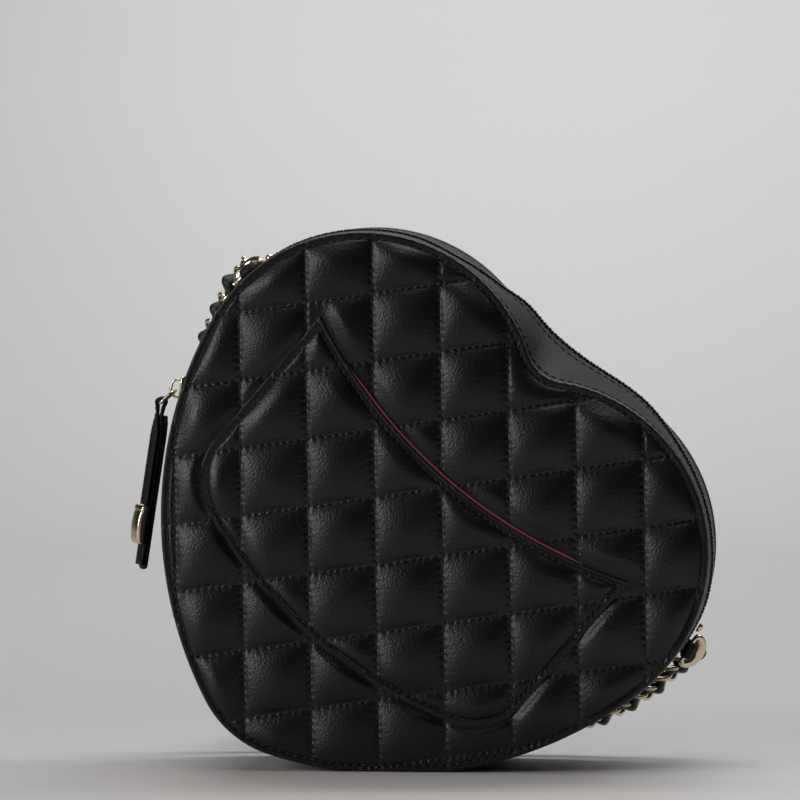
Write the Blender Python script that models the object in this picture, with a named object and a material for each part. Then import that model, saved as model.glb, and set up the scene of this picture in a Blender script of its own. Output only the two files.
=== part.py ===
# Heart-shaped quilted bag with a zip over the top and a woven chain strap.
# The bag stands on one flank. X runs to its right, Y away from the pocket side, Z up.
# Lengths are in metres. Each piece is drawn in the heart's own axes (across, depth, along)
# and hangs from one empty that leans the heart over.
import math

import bpy
import bmesh
import numpy as np
from mathutils import Vector
from mathutils.geometry import delaunay_2d_cdt

MM = 0.001
HALF = 0.5
TURN = 2 * math.pi
RIGHT_ANGLE = math.pi / 2
SHARP = math.radians(35)
CURVE_STEPS = 24

# Heart outline: two lobes, two flanks, a blunt tip and a rounded notch
LOBE_ACROSS = 39.2 * MM
LOBE_UP = 10.0 * MM
LOBE_RADIUS = 60.5 * MM
FLANK_RADIUS = 140.7 * MM
FLANK_START = math.radians(-11.6)
TIP_RADIUS = 37.7 * MM
NOTCH_RADIUS = 14 * MM
TIP_STEPS = 4
FLANK_STEPS = 12
LOBE_STEPS = 18
NOTCH_STEPS = 4

# How the heart leans on its flank
LEAN = math.radians(40.5)
FLAT_SINK = 1.2 * MM

# Seams and layers through the depth
GAP = 0.3 * MM
NEARLY_NOTHING = GAP / 1000
DEPTH = 55 * MM
PIPING_RADIUS = 1.1 * MM
PIPING_SIDES = 5
GUSSET_INSET = 0.4 * MM
LEATHER = 1.6 * MM
BOARD = 1.2 * MM
LINING = 0.7 * MM
PANEL_INSET = 2.5 * MM
PANEL_SEAM_DEPTH = 27.0 * MM

# Quilting: two sets of stitch lines at one angle to the heart's axis
QUILT_PITCH = 23.3 * MM
QUILT_ANGLE = math.radians(41.25)
QUILT_UP = 6.8 * MM
QUILT_STEPS = 4
QUILT_SPAN_STEPS = 9
PUFF = 3.2 * MM
PUFF_POWER_SHARE = 0.55
CROWN = 2.6 * MM
EDGE_FALL = 9 * MM
EDGE_CLEAR = 2.2 * MM

# Patch pocket on the front
POCKET_HALF_WIDTH = 70.5 * MM
POCKET_TIP_UP = 24.5 * MM
POCKET_OPENING_RADIUS = 180 * MM
POCKET_CORNER_RADIUS = 22 * MM
POCKET_BASE_UP = -62.7 * MM
POCKET_BASE_RADIUS = 168 * MM
POCKET_STEP = 6.5 * MM
POCKET_LIP = 1.0 * MM
POCKET_THICK = 1.5 * MM
POCKET_LINING_THICK = 0.5 * MM

# Zip line: a circle round each lobe with a shallow arc bridging the notch
ZIP_ACROSS = 37 * MM
ZIP_UP = 6 * MM
ZIP_RADIUS = 64.8 * MM
ZIP_BRIDGE_RADIUS = 425 * MM
ZIP_END = math.radians(-37.5)
ZIP_EDGE_END = math.radians(-25.0)
OVER_LOBE_STEPS = 19
TO_NOTCH_STEPS = 10
STRIP_EDGE = 25.0 * MM
STRIP_LIP = 5.2 * MM
STRIP_THICK = 1.4 * MM
TAPE_OUTER = 13 * MM
TAPE_UNDER = 5.5 * MM
TAPE_INNER = 2.35 * MM
TAPE_DROP = 1.8 * MM
TAPE_RISE = 0.9 * MM
TAPE_THICK = 0.7 * MM
TOOTH_PITCH = 3.5 * MM
TOOTH_LONG = 1.2 * MM
TOOTH_REACH = 0.9 * MM
SPINE_INNER = 1.25 * MM
SPINE_OUTER = 2.0 * MM
TEETH_PROUD = 0.3 * MM
TEETH_DEEP = 2.2 * MM
ZIP_MARGIN = 3.2 * MM
ZIP_FINE_STEPS = 400
STOP_LONG = 1.6 * MM

# Zip slider and its pull
SLIDER_AT = math.radians(212.8)
SLIDER_LONG = 9.0 * MM
SLIDER_FRONT_WIDTH = 7.6 * MM
SLIDER_BACK_WIDTH = 5.4 * MM
SLIDER_CLEAR = 0.35 * MM
PLATE_THICK = 1.0 * MM
SLIDER_STEPS = 6
BRIDGE_LONG = 7.0 * MM
BRIDGE_HIGH = 3.4 * MM
BRIDGE_WIDE = 2.2 * MM
BRIDGE_THICK = 0.9 * MM
BRIDGE_STEPS = 9
RING_RADIUS = 3.1 * MM
RING_WIRE = 0.6 * MM
RING_HALF_WIDE = 4.8 * MM
RING_CORNER = 1.4 * MM
RING_STEPS = 3
ROUND_SIDES = 6
PULL_LEAF = 1.2 * MM
PULL_WIDTH = 6 * MM
PULL_OUTER_LONG = 34 * MM
PULL_INNER_LONG = 52 * MM
PULL_FOLD_STEPS = 6
RING_ANGLE = math.radians(-139)
PULL_ANGLE = math.radians(-98.5)
CAP_LONG = 13.5 * MM
CAP_WALL = 1.1 * MM
CAP_BULGE = 1.2 * MM
CAP_STEPS = 6

# Strap fittings on the back half of the zip gusset
FITTING_ANGLE = math.radians(8.7)
TAB_DEPTH = 12.5 * MM
TAB_WIDTH = 7.0 * MM
TAB_REACH = 6.0 * MM
TAB_THICK = 1.2 * MM
TAB_STEPS = 8
D_WIRE = 0.95 * MM
D_HALF_BAR = 5.4 * MM
D_BOW = 6.6 * MM
D_STEPS = 12
D_TILT = math.radians(70)
STUD_RADIUS = 1.7 * MM
STUD_HEIGHT = 1.3 * MM
STUD_STEPS = 9
STUD_RISE_STEPS = 4
STUD_COVER_SHARE = 0.9
STUD_FOOT = 0.4 * MM

# Woven chain strap, laid behind the bag
CHAIN = 8.5 * MM
CHAIN_STEP_SHARE = 1.0
CHAIN_ROUND_STEPS = 1
TURN_SPACING = 9.9 * MM
COIL_RADIUS = 42.5 * MM
COIL_MIDDLE_X = -12 * MM
COIL_NEAR_Y = 40 * MM
COIL_LOOP_STEPS = 3
COIL_TURN_STEPS = 24
COIL_FINE_STEPS = 2000
STEP_UP_SHARES = (0.74, 0.98)
PASS_SHARE = 3

# Where the free stretches pass, in millimetres: from the left ring down, and up to the right ring
LEFT_ROUTE = (
    (-58, 30.5, 172.5),
    (-64, 34, 164),
    (-71.5, 38.5, 149),
    (-73.8, 39.5, 136),
    (-75, 39.5, 105),
    (-75.5, 39.5, 70),
    (-75, 39.5, 42),
    (-72.3, 40, 26),
    (-66.5, 40.6, 17.5),
    (-57, 40.9, 11),
    (-45, 40.6, 6.5),
    (-33, 40.2, 4.6),
)
RIGHT_ROUTE = (
    (13, 38.9, 30),
    (24, 38.2, 22),
    (35, 37.8, 14.5),
    (45, 37.5, 10.6),
    (55, 37.2, 9.7),
    (65.5, 35.5, 11.2),
    (75.8, 34.6, 15.7),
    (85.8, 34.2, 21.5),
    (92.3, 33.8, 26.6),
    (98.2, 33.3, 32.2),
    (102.6, 30.5, 37),
)

# Slip pocket inside, on the back lining
SLIP_WIDTH = 96 * MM
SLIP_HEIGHT = 62 * MM
SLIP_CORNER = 8 * MM
SLIP_UP = -8 * MM
CORNER_STEPS = 5


def clear_scene():
    for old in list(bpy.data.objects):
        bpy.data.objects.remove(old, do_unlink=True)


def material(name, colour, metallic, roughness):
    made = bpy.data.materials.new(name)
    made.use_nodes = True
    shader = made.node_tree.nodes["Principled BSDF"]
    shader.inputs["Base Color"].default_value = (*colour, 1)
    shader.inputs["Metallic"].default_value = metallic
    shader.inputs["Roughness"].default_value = roughness
    return made


# Shapes in the heart's plane, as (across, along) points
def arc(centre, radius, start, end, steps):
    angles = np.linspace(start, end, steps + 1)
    return [(centre[0] + radius * math.cos(a), centre[1] + radius * math.sin(a)) for a in angles]


def joined(*runs):
    points = []
    for run in runs:
        points += run if not points else run[1:]
    return points


def mirrored(points):
    return [(-across, along) for across, along in points]


def resampled(points, steps):
    points = np.array(points)
    along = np.concatenate([[0], np.cumsum(np.linalg.norm(np.diff(points, axis=0), axis=1))])
    wanted = np.linspace(0, along[-1], steps + 1)
    return np.column_stack([np.interp(wanted, along, points[:, k]) for k in range(points.shape[1])])


LOBE = (LOBE_ACROSS, LOBE_UP)
FLANK = (
    LOBE_ACROSS - (FLANK_RADIUS - LOBE_RADIUS) * math.cos(FLANK_START),
    LOBE_UP - (FLANK_RADIUS - LOBE_RADIUS) * math.sin(FLANK_START),
)
TIP = (0, FLANK[1] - math.sqrt((FLANK_RADIUS - TIP_RADIUS) ** 2 - FLANK[0] ** 2))
TIP_END = math.atan2(TIP[1] - FLANK[1], -FLANK[0])
NOTCH = (0, LOBE_UP + math.sqrt((LOBE_RADIUS + NOTCH_RADIUS) ** 2 - LOBE_ACROSS**2))
NOTCH_START = math.atan2(NOTCH[1] - LOBE_UP, -LOBE_ACROSS)
ZIP_CENTRE = (ZIP_ACROSS, ZIP_UP)
BRIDGE = (0, ZIP_UP + math.sqrt((ZIP_RADIUS + ZIP_BRIDGE_RADIUS) ** 2 - ZIP_ACROSS**2))
BRIDGE_START = math.atan2(BRIDGE[1] - ZIP_UP, -ZIP_ACROSS)
HEART_X = -(FLANK[0] * math.cos(LEAN) + FLANK[1] * math.sin(LEAN))
HEART_HEIGHT = FLANK_RADIUS - FLAT_SINK + FLANK[0] * math.sin(LEAN) - FLANK[1] * math.cos(LEAN)


def heart_half(inset):
    """The right half of the outline, from the tip up to the notch."""
    return joined(
        arc(TIP, TIP_RADIUS - inset, -RIGHT_ANGLE, TIP_END, TIP_STEPS),
        arc(FLANK, FLANK_RADIUS - inset, TIP_END, FLANK_START, FLANK_STEPS),
        arc(LOBE, LOBE_RADIUS - inset, FLANK_START, NOTCH_START, LOBE_STEPS),
        arc(NOTCH, NOTCH_RADIUS + inset, NOTCH_START - math.pi, -RIGHT_ANGLE, NOTCH_STEPS),
    )


def heart(inset):
    right = heart_half(inset)
    left = mirrored(right)[::-1]
    return right + left[1:-1]


def seated(point, floor):
    """The point, lifted to the floor where the outline would sink below it."""
    across, along = point
    height = HEART_HEIGHT - across * math.sin(LEAN) + along * math.cos(LEAN)
    lift = max(0, floor - height)
    return (across - lift * math.sin(LEAN), along + lift * math.cos(LEAN))


def flat_heart(inset, floor):
    return [seated(point, floor) for point in heart(inset)]


# Building blocks: every one makes a single closed body
def add_object(name, points, faces, look, origin=(0, 0, 0), smooth=True):
    mesh = bpy.data.meshes.new(name)
    origin = Vector(origin)
    mesh.from_pydata([Vector(point) - origin for point in points], [], faces)
    shape = bmesh.new()
    shape.from_mesh(mesh)
    bmesh.ops.recalc_face_normals(shape, faces=shape.faces)
    if shape.calc_volume(signed=True) < 0:
        bmesh.ops.reverse_faces(shape, faces=shape.faces)
    shape.to_mesh(mesh)
    shape.free()
    mesh.materials.append(look)
    made = bpy.data.objects.new(name, mesh)
    bpy.context.scene.collection.objects.link(made)
    made.location = origin
    made.parent = AXES
    if smooth:
        mesh.shade_smooth()
        mesh.set_sharp_from_angle(angle=SHARP)
    return made


def loft(name, sections, look, closed=False, origin=(0, 0, 0)):
    """Skins a row of outlines that have as many points each, and caps an open row."""
    count = len(sections[0])
    points = [point for section in sections for point in section]
    faces = []
    last = len(sections) if closed else len(sections) - 1
    for row in range(last):
        here = row * count
        there = (row + 1) % len(sections) * count
        for k in range(count):
            step = (k + 1) % count
            faces.append((here + k, here + step, there + step, there + k))
    if not closed:
        faces.append(tuple(range(count)))
        faces.append(tuple(range(len(points) - count, len(points))))
    return add_object(name, points, faces, look, origin)


def layer(name, outline, near, far, look):
    """A flat sheet of the outline between two depths."""
    return loft(name, [[(a, depth, b) for a, b in outline] for depth in (near, far)], look)


def piping(name, depth, look):
    """A cord sewn round the panel's edge."""
    line = np.array(flat_heart(PIPING_RADIUS, PIPING_RADIUS))
    ahead = np.roll(line, -1, axis=0) - np.roll(line, 1, axis=0)
    ahead /= np.linalg.norm(ahead, axis=1)[:, None]
    sections = []
    for (across, along), (da, db) in zip(line, ahead, strict=True):
        section = []
        for k in range(PIPING_SIDES):
            angle = TURN * k / PIPING_SIDES
            out = PIPING_RADIUS * math.cos(angle)
            deep = PIPING_RADIUS * math.sin(angle)
            section.append((across + out * db, depth + deep, along - out * da))
        sections.append(section)
    return loft(name, sections, look, closed=True)


# Quilted sheets: the stitch lines are low, the diamonds between them rise
def quilt_share(across, along):
    """How far between two stitch lines a point lies, for each set of lines."""
    along = along - QUILT_UP
    first = (across * math.cos(QUILT_ANGLE) + along * math.sin(QUILT_ANGLE)) / QUILT_PITCH
    second = (across * math.cos(QUILT_ANGLE) - along * math.sin(QUILT_ANGLE)) / QUILT_PITCH
    return first, second


def quilt_point(first, second):
    across = (first + second) * QUILT_PITCH * HALF / math.cos(QUILT_ANGLE)
    along = (first - second) * QUILT_PITCH * HALF / math.sin(QUILT_ANGLE) + QUILT_UP
    return across, along


def edge_distance(point, outline):
    ends = np.array(outline)
    starts = np.roll(ends, 1, axis=0)
    run = ends - starts
    share = np.clip(((point - starts) * run).sum(1) / (run**2).sum(1), 0, 1)
    return float(np.linalg.norm(starts + share[:, None] * run - point, axis=1).min())


def inside(point, outline):
    across, along = point
    found = False
    for (a0, b0), (a1, b1) in zip(outline, outline[1:] + outline[:1], strict=True):
        if (b0 > along) != (b1 > along) and across < a0 + (along - b0) * (a1 - a0) / (b1 - b0):
            found = not found
    return found


def quilt_height(point, outline):
    """The height of the quilted face over its stitch lines."""
    first, second = quilt_share(*point)
    puff = abs(math.sin(math.pi * first) * math.sin(math.pi * second)) ** PUFF_POWER_SHARE
    near_edge = min(1, edge_distance(np.array(point), outline) / EDGE_FALL)
    rise = math.sin(near_edge * RIGHT_ANGLE)
    across, along = point
    spread = (across**2 + (along - LOBE_UP * HALF) ** 2) / (LOBE_ACROSS + LOBE_RADIUS) ** 2
    return rise * (PUFF * puff + CROWN * max(0, 1 - spread))


def quilt_grid(outline, extra_runs):
    """Triangles over the outline that follow the stitch lines and the extra runs."""
    coords = [Vector(point) for point in outline]
    edges = []
    for run in extra_runs:
        first = len(coords)
        coords += [Vector(point) for point in run]
        edges += [(k, k + 1) for k in range(first, len(coords) - 1)]
    edge_points = np.array([tuple(c) for c in coords])
    steps = QUILT_SPAN_STEPS * QUILT_STEPS
    for i in range(-steps, steps + 1):
        for j in range(-steps, steps + 1):
            point = quilt_point(i / QUILT_STEPS, j / QUILT_STEPS)
            if not inside(point, outline):
                continue
            if np.linalg.norm(edge_points - point, axis=1).min() < EDGE_CLEAR:
                continue
            if any(edge_distance(np.array(point), list(run)) < EDGE_CLEAR * HALF for run in extra_runs):
                continue
            if edge_distance(np.array(point), outline) > EDGE_CLEAR * HALF:
                coords.append(Vector(point))
    made = delaunay_2d_cdt(coords, edges, [list(range(len(outline)))], 1, NEARLY_NOTHING)
    return [tuple(v) for v in made[0]], [tuple(f) for f in made[2]]


def skin(name, spots, faces, face_depths, back_depths, look):
    """Closes a sheet from one set of triangles: its face, its back and its rim."""
    used = sorted({k for face in faces for k in face})
    index = {k: n for n, k in enumerate(used)}
    count = len(used)
    points = [(spots[k][0], face_depths[k], spots[k][1]) for k in used]
    points += [(spots[k][0], back_depths[k], spots[k][1]) for k in used]
    made = [tuple(index[k] for k in face) for face in faces]
    made += [tuple(index[k] + count for k in reversed(face)) for face in faces]
    rim = set()
    for face in faces:
        for a, b in zip(face, face[1:] + face[:1], strict=True):
            if (b, a) in rim:
                rim.remove((b, a))
            else:
                rim.add((a, b))
    for a, b in sorted(rim):
        made.append((index[b], index[a], index[a] + count, index[b] + count))
    return add_object(name, points, made, look)


def backed_panel(name, spots, faces, rim_count, face_depths, back_depth, look):
    """A quilted sheet whose back is one flat face, so it needs no triangles there."""
    count = len(spots)
    points = [(spots[k][0], face_depths[k], spots[k][1]) for k in range(count)]
    points += [(spots[k][0], back_depth, spots[k][1]) for k in range(rim_count)]
    made = list(faces)
    made.append(tuple(count + k for k in range(rim_count)))
    for k in range(rim_count):
        step = (k + 1) % rim_count
        made.append((k, step, count + step, count + k))
    return add_object(name, points, made, look)


def pocket_outline():
    """The pocket's edge from its left tip, round the base, to its right tip."""
    corner_u = POCKET_HALF_WIDTH - POCKET_CORNER_RADIUS
    base_centre = (0, POCKET_BASE_UP + POCKET_BASE_RADIUS)
    reach = POCKET_BASE_RADIUS - POCKET_CORNER_RADIUS
    corner_v = base_centre[1] - math.sqrt(reach**2 - corner_u**2)
    turn = math.atan2(corner_v - base_centre[1], corner_u)
    right = joined(
        arc(base_centre, POCKET_BASE_RADIUS, -RIGHT_ANGLE, turn, CURVE_STEPS),
        arc((corner_u, corner_v), POCKET_CORNER_RADIUS, turn, 0, CURVE_STEPS),
        [(POCKET_HALF_WIDTH, corner_v), (POCKET_HALF_WIDTH, POCKET_TIP_UP)],
    )
    right = spaced(right, POCKET_STEP)
    return mirrored(right)[::-1] + right[1:]


def spaced(points, step):
    """The line again, with equal steps close to the one asked for."""
    length = float(np.linalg.norm(np.diff(np.array(points), axis=0), axis=1).sum())
    return [tuple(point) for point in resampled(points, round(length / step))]


def opening_line(lift):
    """The pocket's dipped opening, raised in its middle by the lift."""
    radius = POCKET_OPENING_RADIUS
    spread = math.asin(POCKET_HALF_WIDTH / radius)
    centre = (0, POCKET_TIP_UP + radius * math.cos(spread))
    steps = round(radius * spread * 2 / POCKET_STEP)
    line = arc(centre, radius, -RIGHT_ANGLE + spread, -RIGHT_ANGLE - spread, steps)
    rise = [lift * math.sin(math.pi * k / steps) ** HALF for k in range(steps + 1)]
    return [(a, b + up) for (a, b), up in zip(line, rise, strict=True)]


def front_pieces():
    """The quilted front, the pocket on it and the pocket's lining, from one grid."""
    outline = flat_heart(PANEL_INSET, PANEL_INSET)
    side = pocket_outline()
    mouth = opening_line(0)
    lip = opening_line(POCKET_LIP)
    spots, faces = quilt_grid(outline, [side, mouth, lip[1:-1]])
    depths = [-PANEL_SEAM_DEPTH - quilt_height(spot, outline) for spot in spots]
    back = -PANEL_SEAM_DEPTH + LEATHER
    backed_panel("front_panel", spots, faces, len(outline), depths, back, LEATHER_LOOK)
    middles = [tuple(np.mean([spots[k] for k in face], axis=0)) for face in faces]
    pocket = side + mouth[1:-1]
    lined = side + lip[1:-1]
    lining_faces = [f for f, middle in zip(faces, middles, strict=True) if inside(middle, lined)]
    pocket_faces = [f for f, middle in zip(faces, middles, strict=True) if inside(middle, pocket)]
    lining_back = [depth - GAP for depth in depths]
    lining_face = [depth - POCKET_LINING_THICK for depth in lining_back]
    pocket_back = [depth - GAP for depth in lining_face]
    pocket_face = [depth - POCKET_THICK for depth in pocket_back]
    skin("pocket_lining", spots, lining_faces, lining_face, lining_back, LINING_LOOK)
    skin("pocket_panel", spots, pocket_faces, pocket_face, pocket_back, LEATHER_LOOK)


def back_pieces():
    outline = flat_heart(PANEL_INSET, PANEL_INSET)
    spots, faces = quilt_grid(outline, [])
    depths = [PANEL_SEAM_DEPTH + quilt_height(spot, outline) for spot in spots]
    back = PANEL_SEAM_DEPTH - LEATHER
    backed_panel("back_panel", spots, faces, len(outline), depths, back, LEATHER_LOOK)


def layers_behind(side, name):
    """The stiff board and the lining behind one quilted face."""
    outline = flat_heart(PANEL_INSET, PANEL_INSET)
    board = PANEL_SEAM_DEPTH - LEATHER - GAP
    lining = board - BOARD - GAP
    layer(name + "_board", outline, side * board, side * (board - BOARD), BOARD_LOOK)
    layer(name + "_lining", outline, side * lining, side * (lining - LINING), LINING_LOOK)
    piping(name + "_piping", side * (DEPTH * HALF - PIPING_RADIUS), PIPING_LOOK)
    return lining - LINING


def lower_run(inset):
    """The outline from the zip's right end round the tip to its left end."""
    right = joined(
        arc(TIP, TIP_RADIUS - inset, -RIGHT_ANGLE, TIP_END, TIP_STEPS),
        arc(FLANK, FLANK_RADIUS - inset, TIP_END, ZIP_EDGE_END, FLANK_STEPS),
    )
    return right[::-1] + mirrored(right)[1:]


def base_pieces(lining_face):
    """The gusset round the tip, and the lining inside it."""
    outer = [seated(point, 0) for point in lower_run(GUSSET_INSET)]
    inner = [seated(point, LEATHER) for point in lower_run(GUSSET_INSET + LEATHER)]
    band("base_gusset", outer, inner, STRIP_EDGE, LEATHER_LOOK)
    start = GUSSET_INSET + LEATHER + GAP
    outer = [seated(point, LEATHER + GAP) for point in lower_run(start)]
    inner = [seated(point, LEATHER + GAP + LINING) for point in lower_run(start + LINING)]
    band("base_gusset_lining", outer, inner, lining_face - GAP, LINING_LOOK)


def band(name, outer, inner, reach, look):
    sections = []
    for (a0, b0), (a1, b1) in zip(outer, inner, strict=True):
        sections.append([(a0, -reach, b0), (a0, reach, b0), (a1, reach, b1), (a1, -reach, b1)])
    return loft(name, sections, look)


# The top: strips and tapes lie on one surface from the panels' edges to the zip line
def over_lobe(centre, radius, start, middle_start, middle, middle_radius, before=()):
    """One path from the zip's end over the lobe to the notch, in matched stations."""
    up = joined(list(before), arc(centre, radius, start, RIGHT_ANGLE, LOBE_STEPS * 2))
    across = joined(
        arc(centre, radius, RIGHT_ANGLE, middle_start, LOBE_STEPS),
        arc(middle, middle_radius, middle_start - math.pi, -RIGHT_ANGLE, LOBE_STEPS),
    )
    half = np.vstack([resampled(up, OVER_LOBE_STEPS), resampled(across, TO_NOTCH_STEPS)[1:]])
    other = half[::-1] * np.array([-1, 1])
    return np.vstack([half, other[1:]])


def edge_path(inset):
    flank = arc(FLANK, FLANK_RADIUS - inset, ZIP_EDGE_END, FLANK_START, FLANK_STEPS)
    radius = LOBE_RADIUS - inset
    return over_lobe(LOBE, radius, FLANK_START, NOTCH_START, NOTCH, NOTCH_RADIUS + inset, flank)


def zip_path(drop):
    radius = ZIP_RADIUS - drop
    bridge = ZIP_BRIDGE_RADIUS + drop
    return over_lobe(ZIP_CENTRE, radius, ZIP_END, BRIDGE_START, BRIDGE, bridge)


def on_top(depth, drop):
    """Stations of the top surface at a depth from the zip line, dropped inwards."""
    share = min(1, max(0, (abs(depth) - STRIP_LIP) / (STRIP_EDGE - STRIP_LIP)))
    spots = zip_path(drop) * (1 - share) + edge_path(GUSSET_INSET + drop) * share
    return [(across, depth, along) for across, along in spots]


def strip(name, corners, look, trim):
    """A long sheet on the top surface with the given (depth, drop) corners."""
    lines = [on_top(depth, drop) for depth, drop in corners]
    sections = [list(section) for section in zip(*lines, strict=True)]
    if trim:
        sections[0] = [trimmed(a, b) for a, b in zip(sections[0], sections[1], strict=True)]
        sections[-1] = [trimmed(a, b) for a, b in zip(sections[-1], sections[-2], strict=True)]
    return loft(name, sections, look)


def trimmed(end, following):
    run = Vector(following) - Vector(end)
    return tuple(Vector(end) + run.normalized() * GAP)


def top_pieces():
    for side, name in ((-1, "front"), (1, "back")):
        outer = side * STRIP_EDGE
        lip = side * STRIP_LIP
        far = side * TAPE_OUTER
        corners = [(outer, 0), (far, 0), (lip, 0)]
        corners += [(depth, STRIP_THICK) for depth, _ in reversed(corners)]
        strip("zip_strip_" + name, corners, LEATHER_LOOK, True)
        under = side * TAPE_UNDER
        near = side * TAPE_INNER
        corners = [
            (far, TAPE_DROP),
            (under, TAPE_DROP),
            (near, TAPE_RISE),
            (near, TAPE_RISE + TAPE_THICK),
            (under, TAPE_DROP + TAPE_THICK),
            (far, TAPE_DROP + TAPE_THICK),
        ]
        strip("zip_tape_" + name, corners, TAPE_LOOK, True)


class ZipLine:
    """The zip's middle line as a smooth path with places measured along it."""

    def __init__(self):
        half = joined(
            arc(ZIP_CENTRE, ZIP_RADIUS, ZIP_END, BRIDGE_START, ZIP_FINE_STEPS),
            arc(BRIDGE, ZIP_BRIDGE_RADIUS, BRIDGE_START - math.pi, -RIGHT_ANGLE, ZIP_FINE_STEPS),
        )
        self.points = np.array(half + mirrored(half)[::-1][1:])
        steps = np.linalg.norm(np.diff(self.points, axis=0), axis=1)
        self.along = np.concatenate([[0], np.cumsum(steps)])
        self.length = float(self.along[-1])

    def at(self, place, drop, depth):
        here = np.array([np.interp(place, self.along, self.points[:, k]) for k in (0, 1)])
        ahead = np.array([np.interp(place + GAP, self.along, self.points[:, k]) for k in (0, 1)])
        behind = np.array([np.interp(place - GAP, self.along, self.points[:, k]) for k in (0, 1)])
        across, along = (ahead - behind) / np.linalg.norm(ahead - behind)
        return (here[0] - along * drop, depth, here[1] + across * drop)


def tooth_row(name, side, line, shift):
    """One row of teeth on its cord, reaching past the middle between the other row's."""
    count = int((line.length - 2 * ZIP_MARGIN - TOOTH_PITCH) / TOOTH_PITCH)
    start = (line.length - count * TOOTH_PITCH) * HALF + shift
    places = []
    for k in range(count):
        places += [start + k * TOOTH_PITCH, start + k * TOOTH_PITCH + TOOTH_LONG]
    drops = (-TEETH_PROUD, TEETH_DEEP)
    depths = (side * SPINE_OUTER, side * SPINE_INNER, -side * TOOTH_REACH)
    points = [line.at(place, drop, depth) for place in places for depth in depths for drop in drops]
    faces = []
    width = len(drops) * len(depths)
    outer_top, outer_low, inner_top, inner_low, reach_top, reach_low = range(width)
    for k in range(len(places) - 1):
        a = k * width
        b = a + width
        faces.append((a + outer_top, b + outer_top, b + inner_top, a + inner_top))
        faces.append((a + outer_low, a + inner_low, b + inner_low, b + outer_low))
        faces.append((a + outer_top, a + outer_low, b + outer_low, b + outer_top))
        if k % 2:
            faces.append((a + inner_top, b + inner_top, b + inner_low, a + inner_low))
            continue
        faces.append((a + inner_top, b + inner_top, b + reach_top, a + reach_top))
        faces.append((a + inner_low, a + reach_low, b + reach_low, b + inner_low))
        faces.append((a + reach_top, b + reach_top, b + reach_low, a + reach_low))
        faces.append((a + inner_top, a + reach_top, a + reach_low, a + inner_low))
        faces.append((b + inner_top, b + inner_low, b + reach_low, b + reach_top))
    faces.append((outer_top, inner_top, inner_low, outer_low))
    last = (len(places) - 1) * width
    faces.append((last + outer_top, last + outer_low, last + inner_low, last + inner_top))
    return add_object(name, points, faces, TOOTH_LOOK)


def zip_stop(name, line, place):
    """The small clamp that closes one end of the zip."""
    sections = []
    for where in (place, place + STOP_LONG):
        section = []
        for depth, drop in ((-1, -1), (1, -1), (1, 1), (-1, 1)):
            deep = TEETH_DEEP if drop > 0 else -TEETH_PROUD
            section.append(line.at(where, deep, depth * SPINE_OUTER))
        sections.append(section)
    return loft(name, sections, GOLD_LOOK)


def zip_pieces():
    line = ZipLine()
    tooth_row("zip_teeth_front", -1, line, 0)
    tooth_row("zip_teeth_back", 1, line, TOOTH_PITCH * HALF)
    zip_stop("zip_stop_right", line, GAP)
    zip_stop("zip_stop_left", line, line.length - GAP - STOP_LONG)


# The slider rides round the left lobe; its frame is out, towards the closed end, depth
def slider_frame():
    out = np.array([math.cos(SLIDER_AT), math.sin(SLIDER_AT)])
    down = np.array([-math.sin(SLIDER_AT), math.cos(SLIDER_AT)])
    return np.array([-ZIP_ACROSS, ZIP_UP]) + out * ZIP_RADIUS, out, down


def slider_plate(name, low, high, look):
    """A plate bent to the zip's circle, wider towards the open end."""
    sections = []
    for k in range(SLIDER_STEPS + 1):
        share = k / SLIDER_STEPS - HALF
        angle = SLIDER_AT + share * SLIDER_LONG / ZIP_RADIUS
        width = SLIDER_FRONT_WIDTH + (SLIDER_BACK_WIDTH - SLIDER_FRONT_WIDTH) * (share + HALF)
        section = []
        for depth, height in ((-HALF, low), (HALF, low), (HALF, high), (-HALF, high)):
            radius = ZIP_RADIUS + height
            across = -ZIP_ACROSS + radius * math.cos(angle)
            section.append((across, depth * width, ZIP_UP + radius * math.sin(angle)))
        sections.append(section)
    return loft(name, sections, look, origin=(-ZIP_ACROSS, 0, ZIP_UP))


def slider_bridge(base):
    """The arched bar over the slider that carries the ring."""
    middle, out, down = slider_frame()
    rows = []
    for k in range(BRIDGE_STEPS + 1):
        angle = math.pi * k / BRIDGE_STEPS
        outer = (-math.cos(angle) * BRIDGE_LONG * HALF, math.sin(angle) * BRIDGE_HIGH)
        inner_long = BRIDGE_LONG * HALF - BRIDGE_THICK
        inner = (-math.cos(angle) * inner_long, math.sin(angle) * (BRIDGE_HIGH - BRIDGE_THICK))
        rows.append((outer, inner))
    sections = []
    for outer, inner in rows:
        section = []
        for (along, high), depth in ((outer, -1), (outer, 1), (inner, 1), (inner, -1)):
            spot = middle + down * along + out * (base + high)
            section.append((spot[0], depth * BRIDGE_WIDE * HALF, spot[1]))
        sections.append(section)
    loft("slider_bridge", sections, GOLD_LOOK, origin=(-ZIP_ACROSS, 0, ZIP_UP))


def square_ring(name, centre, along, half_long, half_wide, wire, look, origin):
    """A wire ring with straight sides and rounded corners, its width through the depth."""
    centre = Vector(centre)
    along = Vector(along).normalized()
    wide = Vector((0, 1, 0))
    normal = along.cross(wide)
    line = []
    for turn, (a, b) in enumerate(((1, 1), (-1, 1), (-1, -1), (1, -1))):
        corner = (a * (half_long - RING_CORNER), b * (half_wide - RING_CORNER))
        start = turn * RIGHT_ANGLE
        line += arc(corner, RING_CORNER, start, start + RIGHT_ANGLE, RING_STEPS)
    spots = [centre + along * a + wide * b for a, b in line]
    sections = []
    for k, spot in enumerate(spots):
        ahead = (spots[(k + 1) % len(spots)] - spots[k - 1]).normalized()
        sections.append(round_section(spot, ahead.cross(normal), normal, wire))
    return loft(name, sections, look, closed=True, origin=origin)


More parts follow.
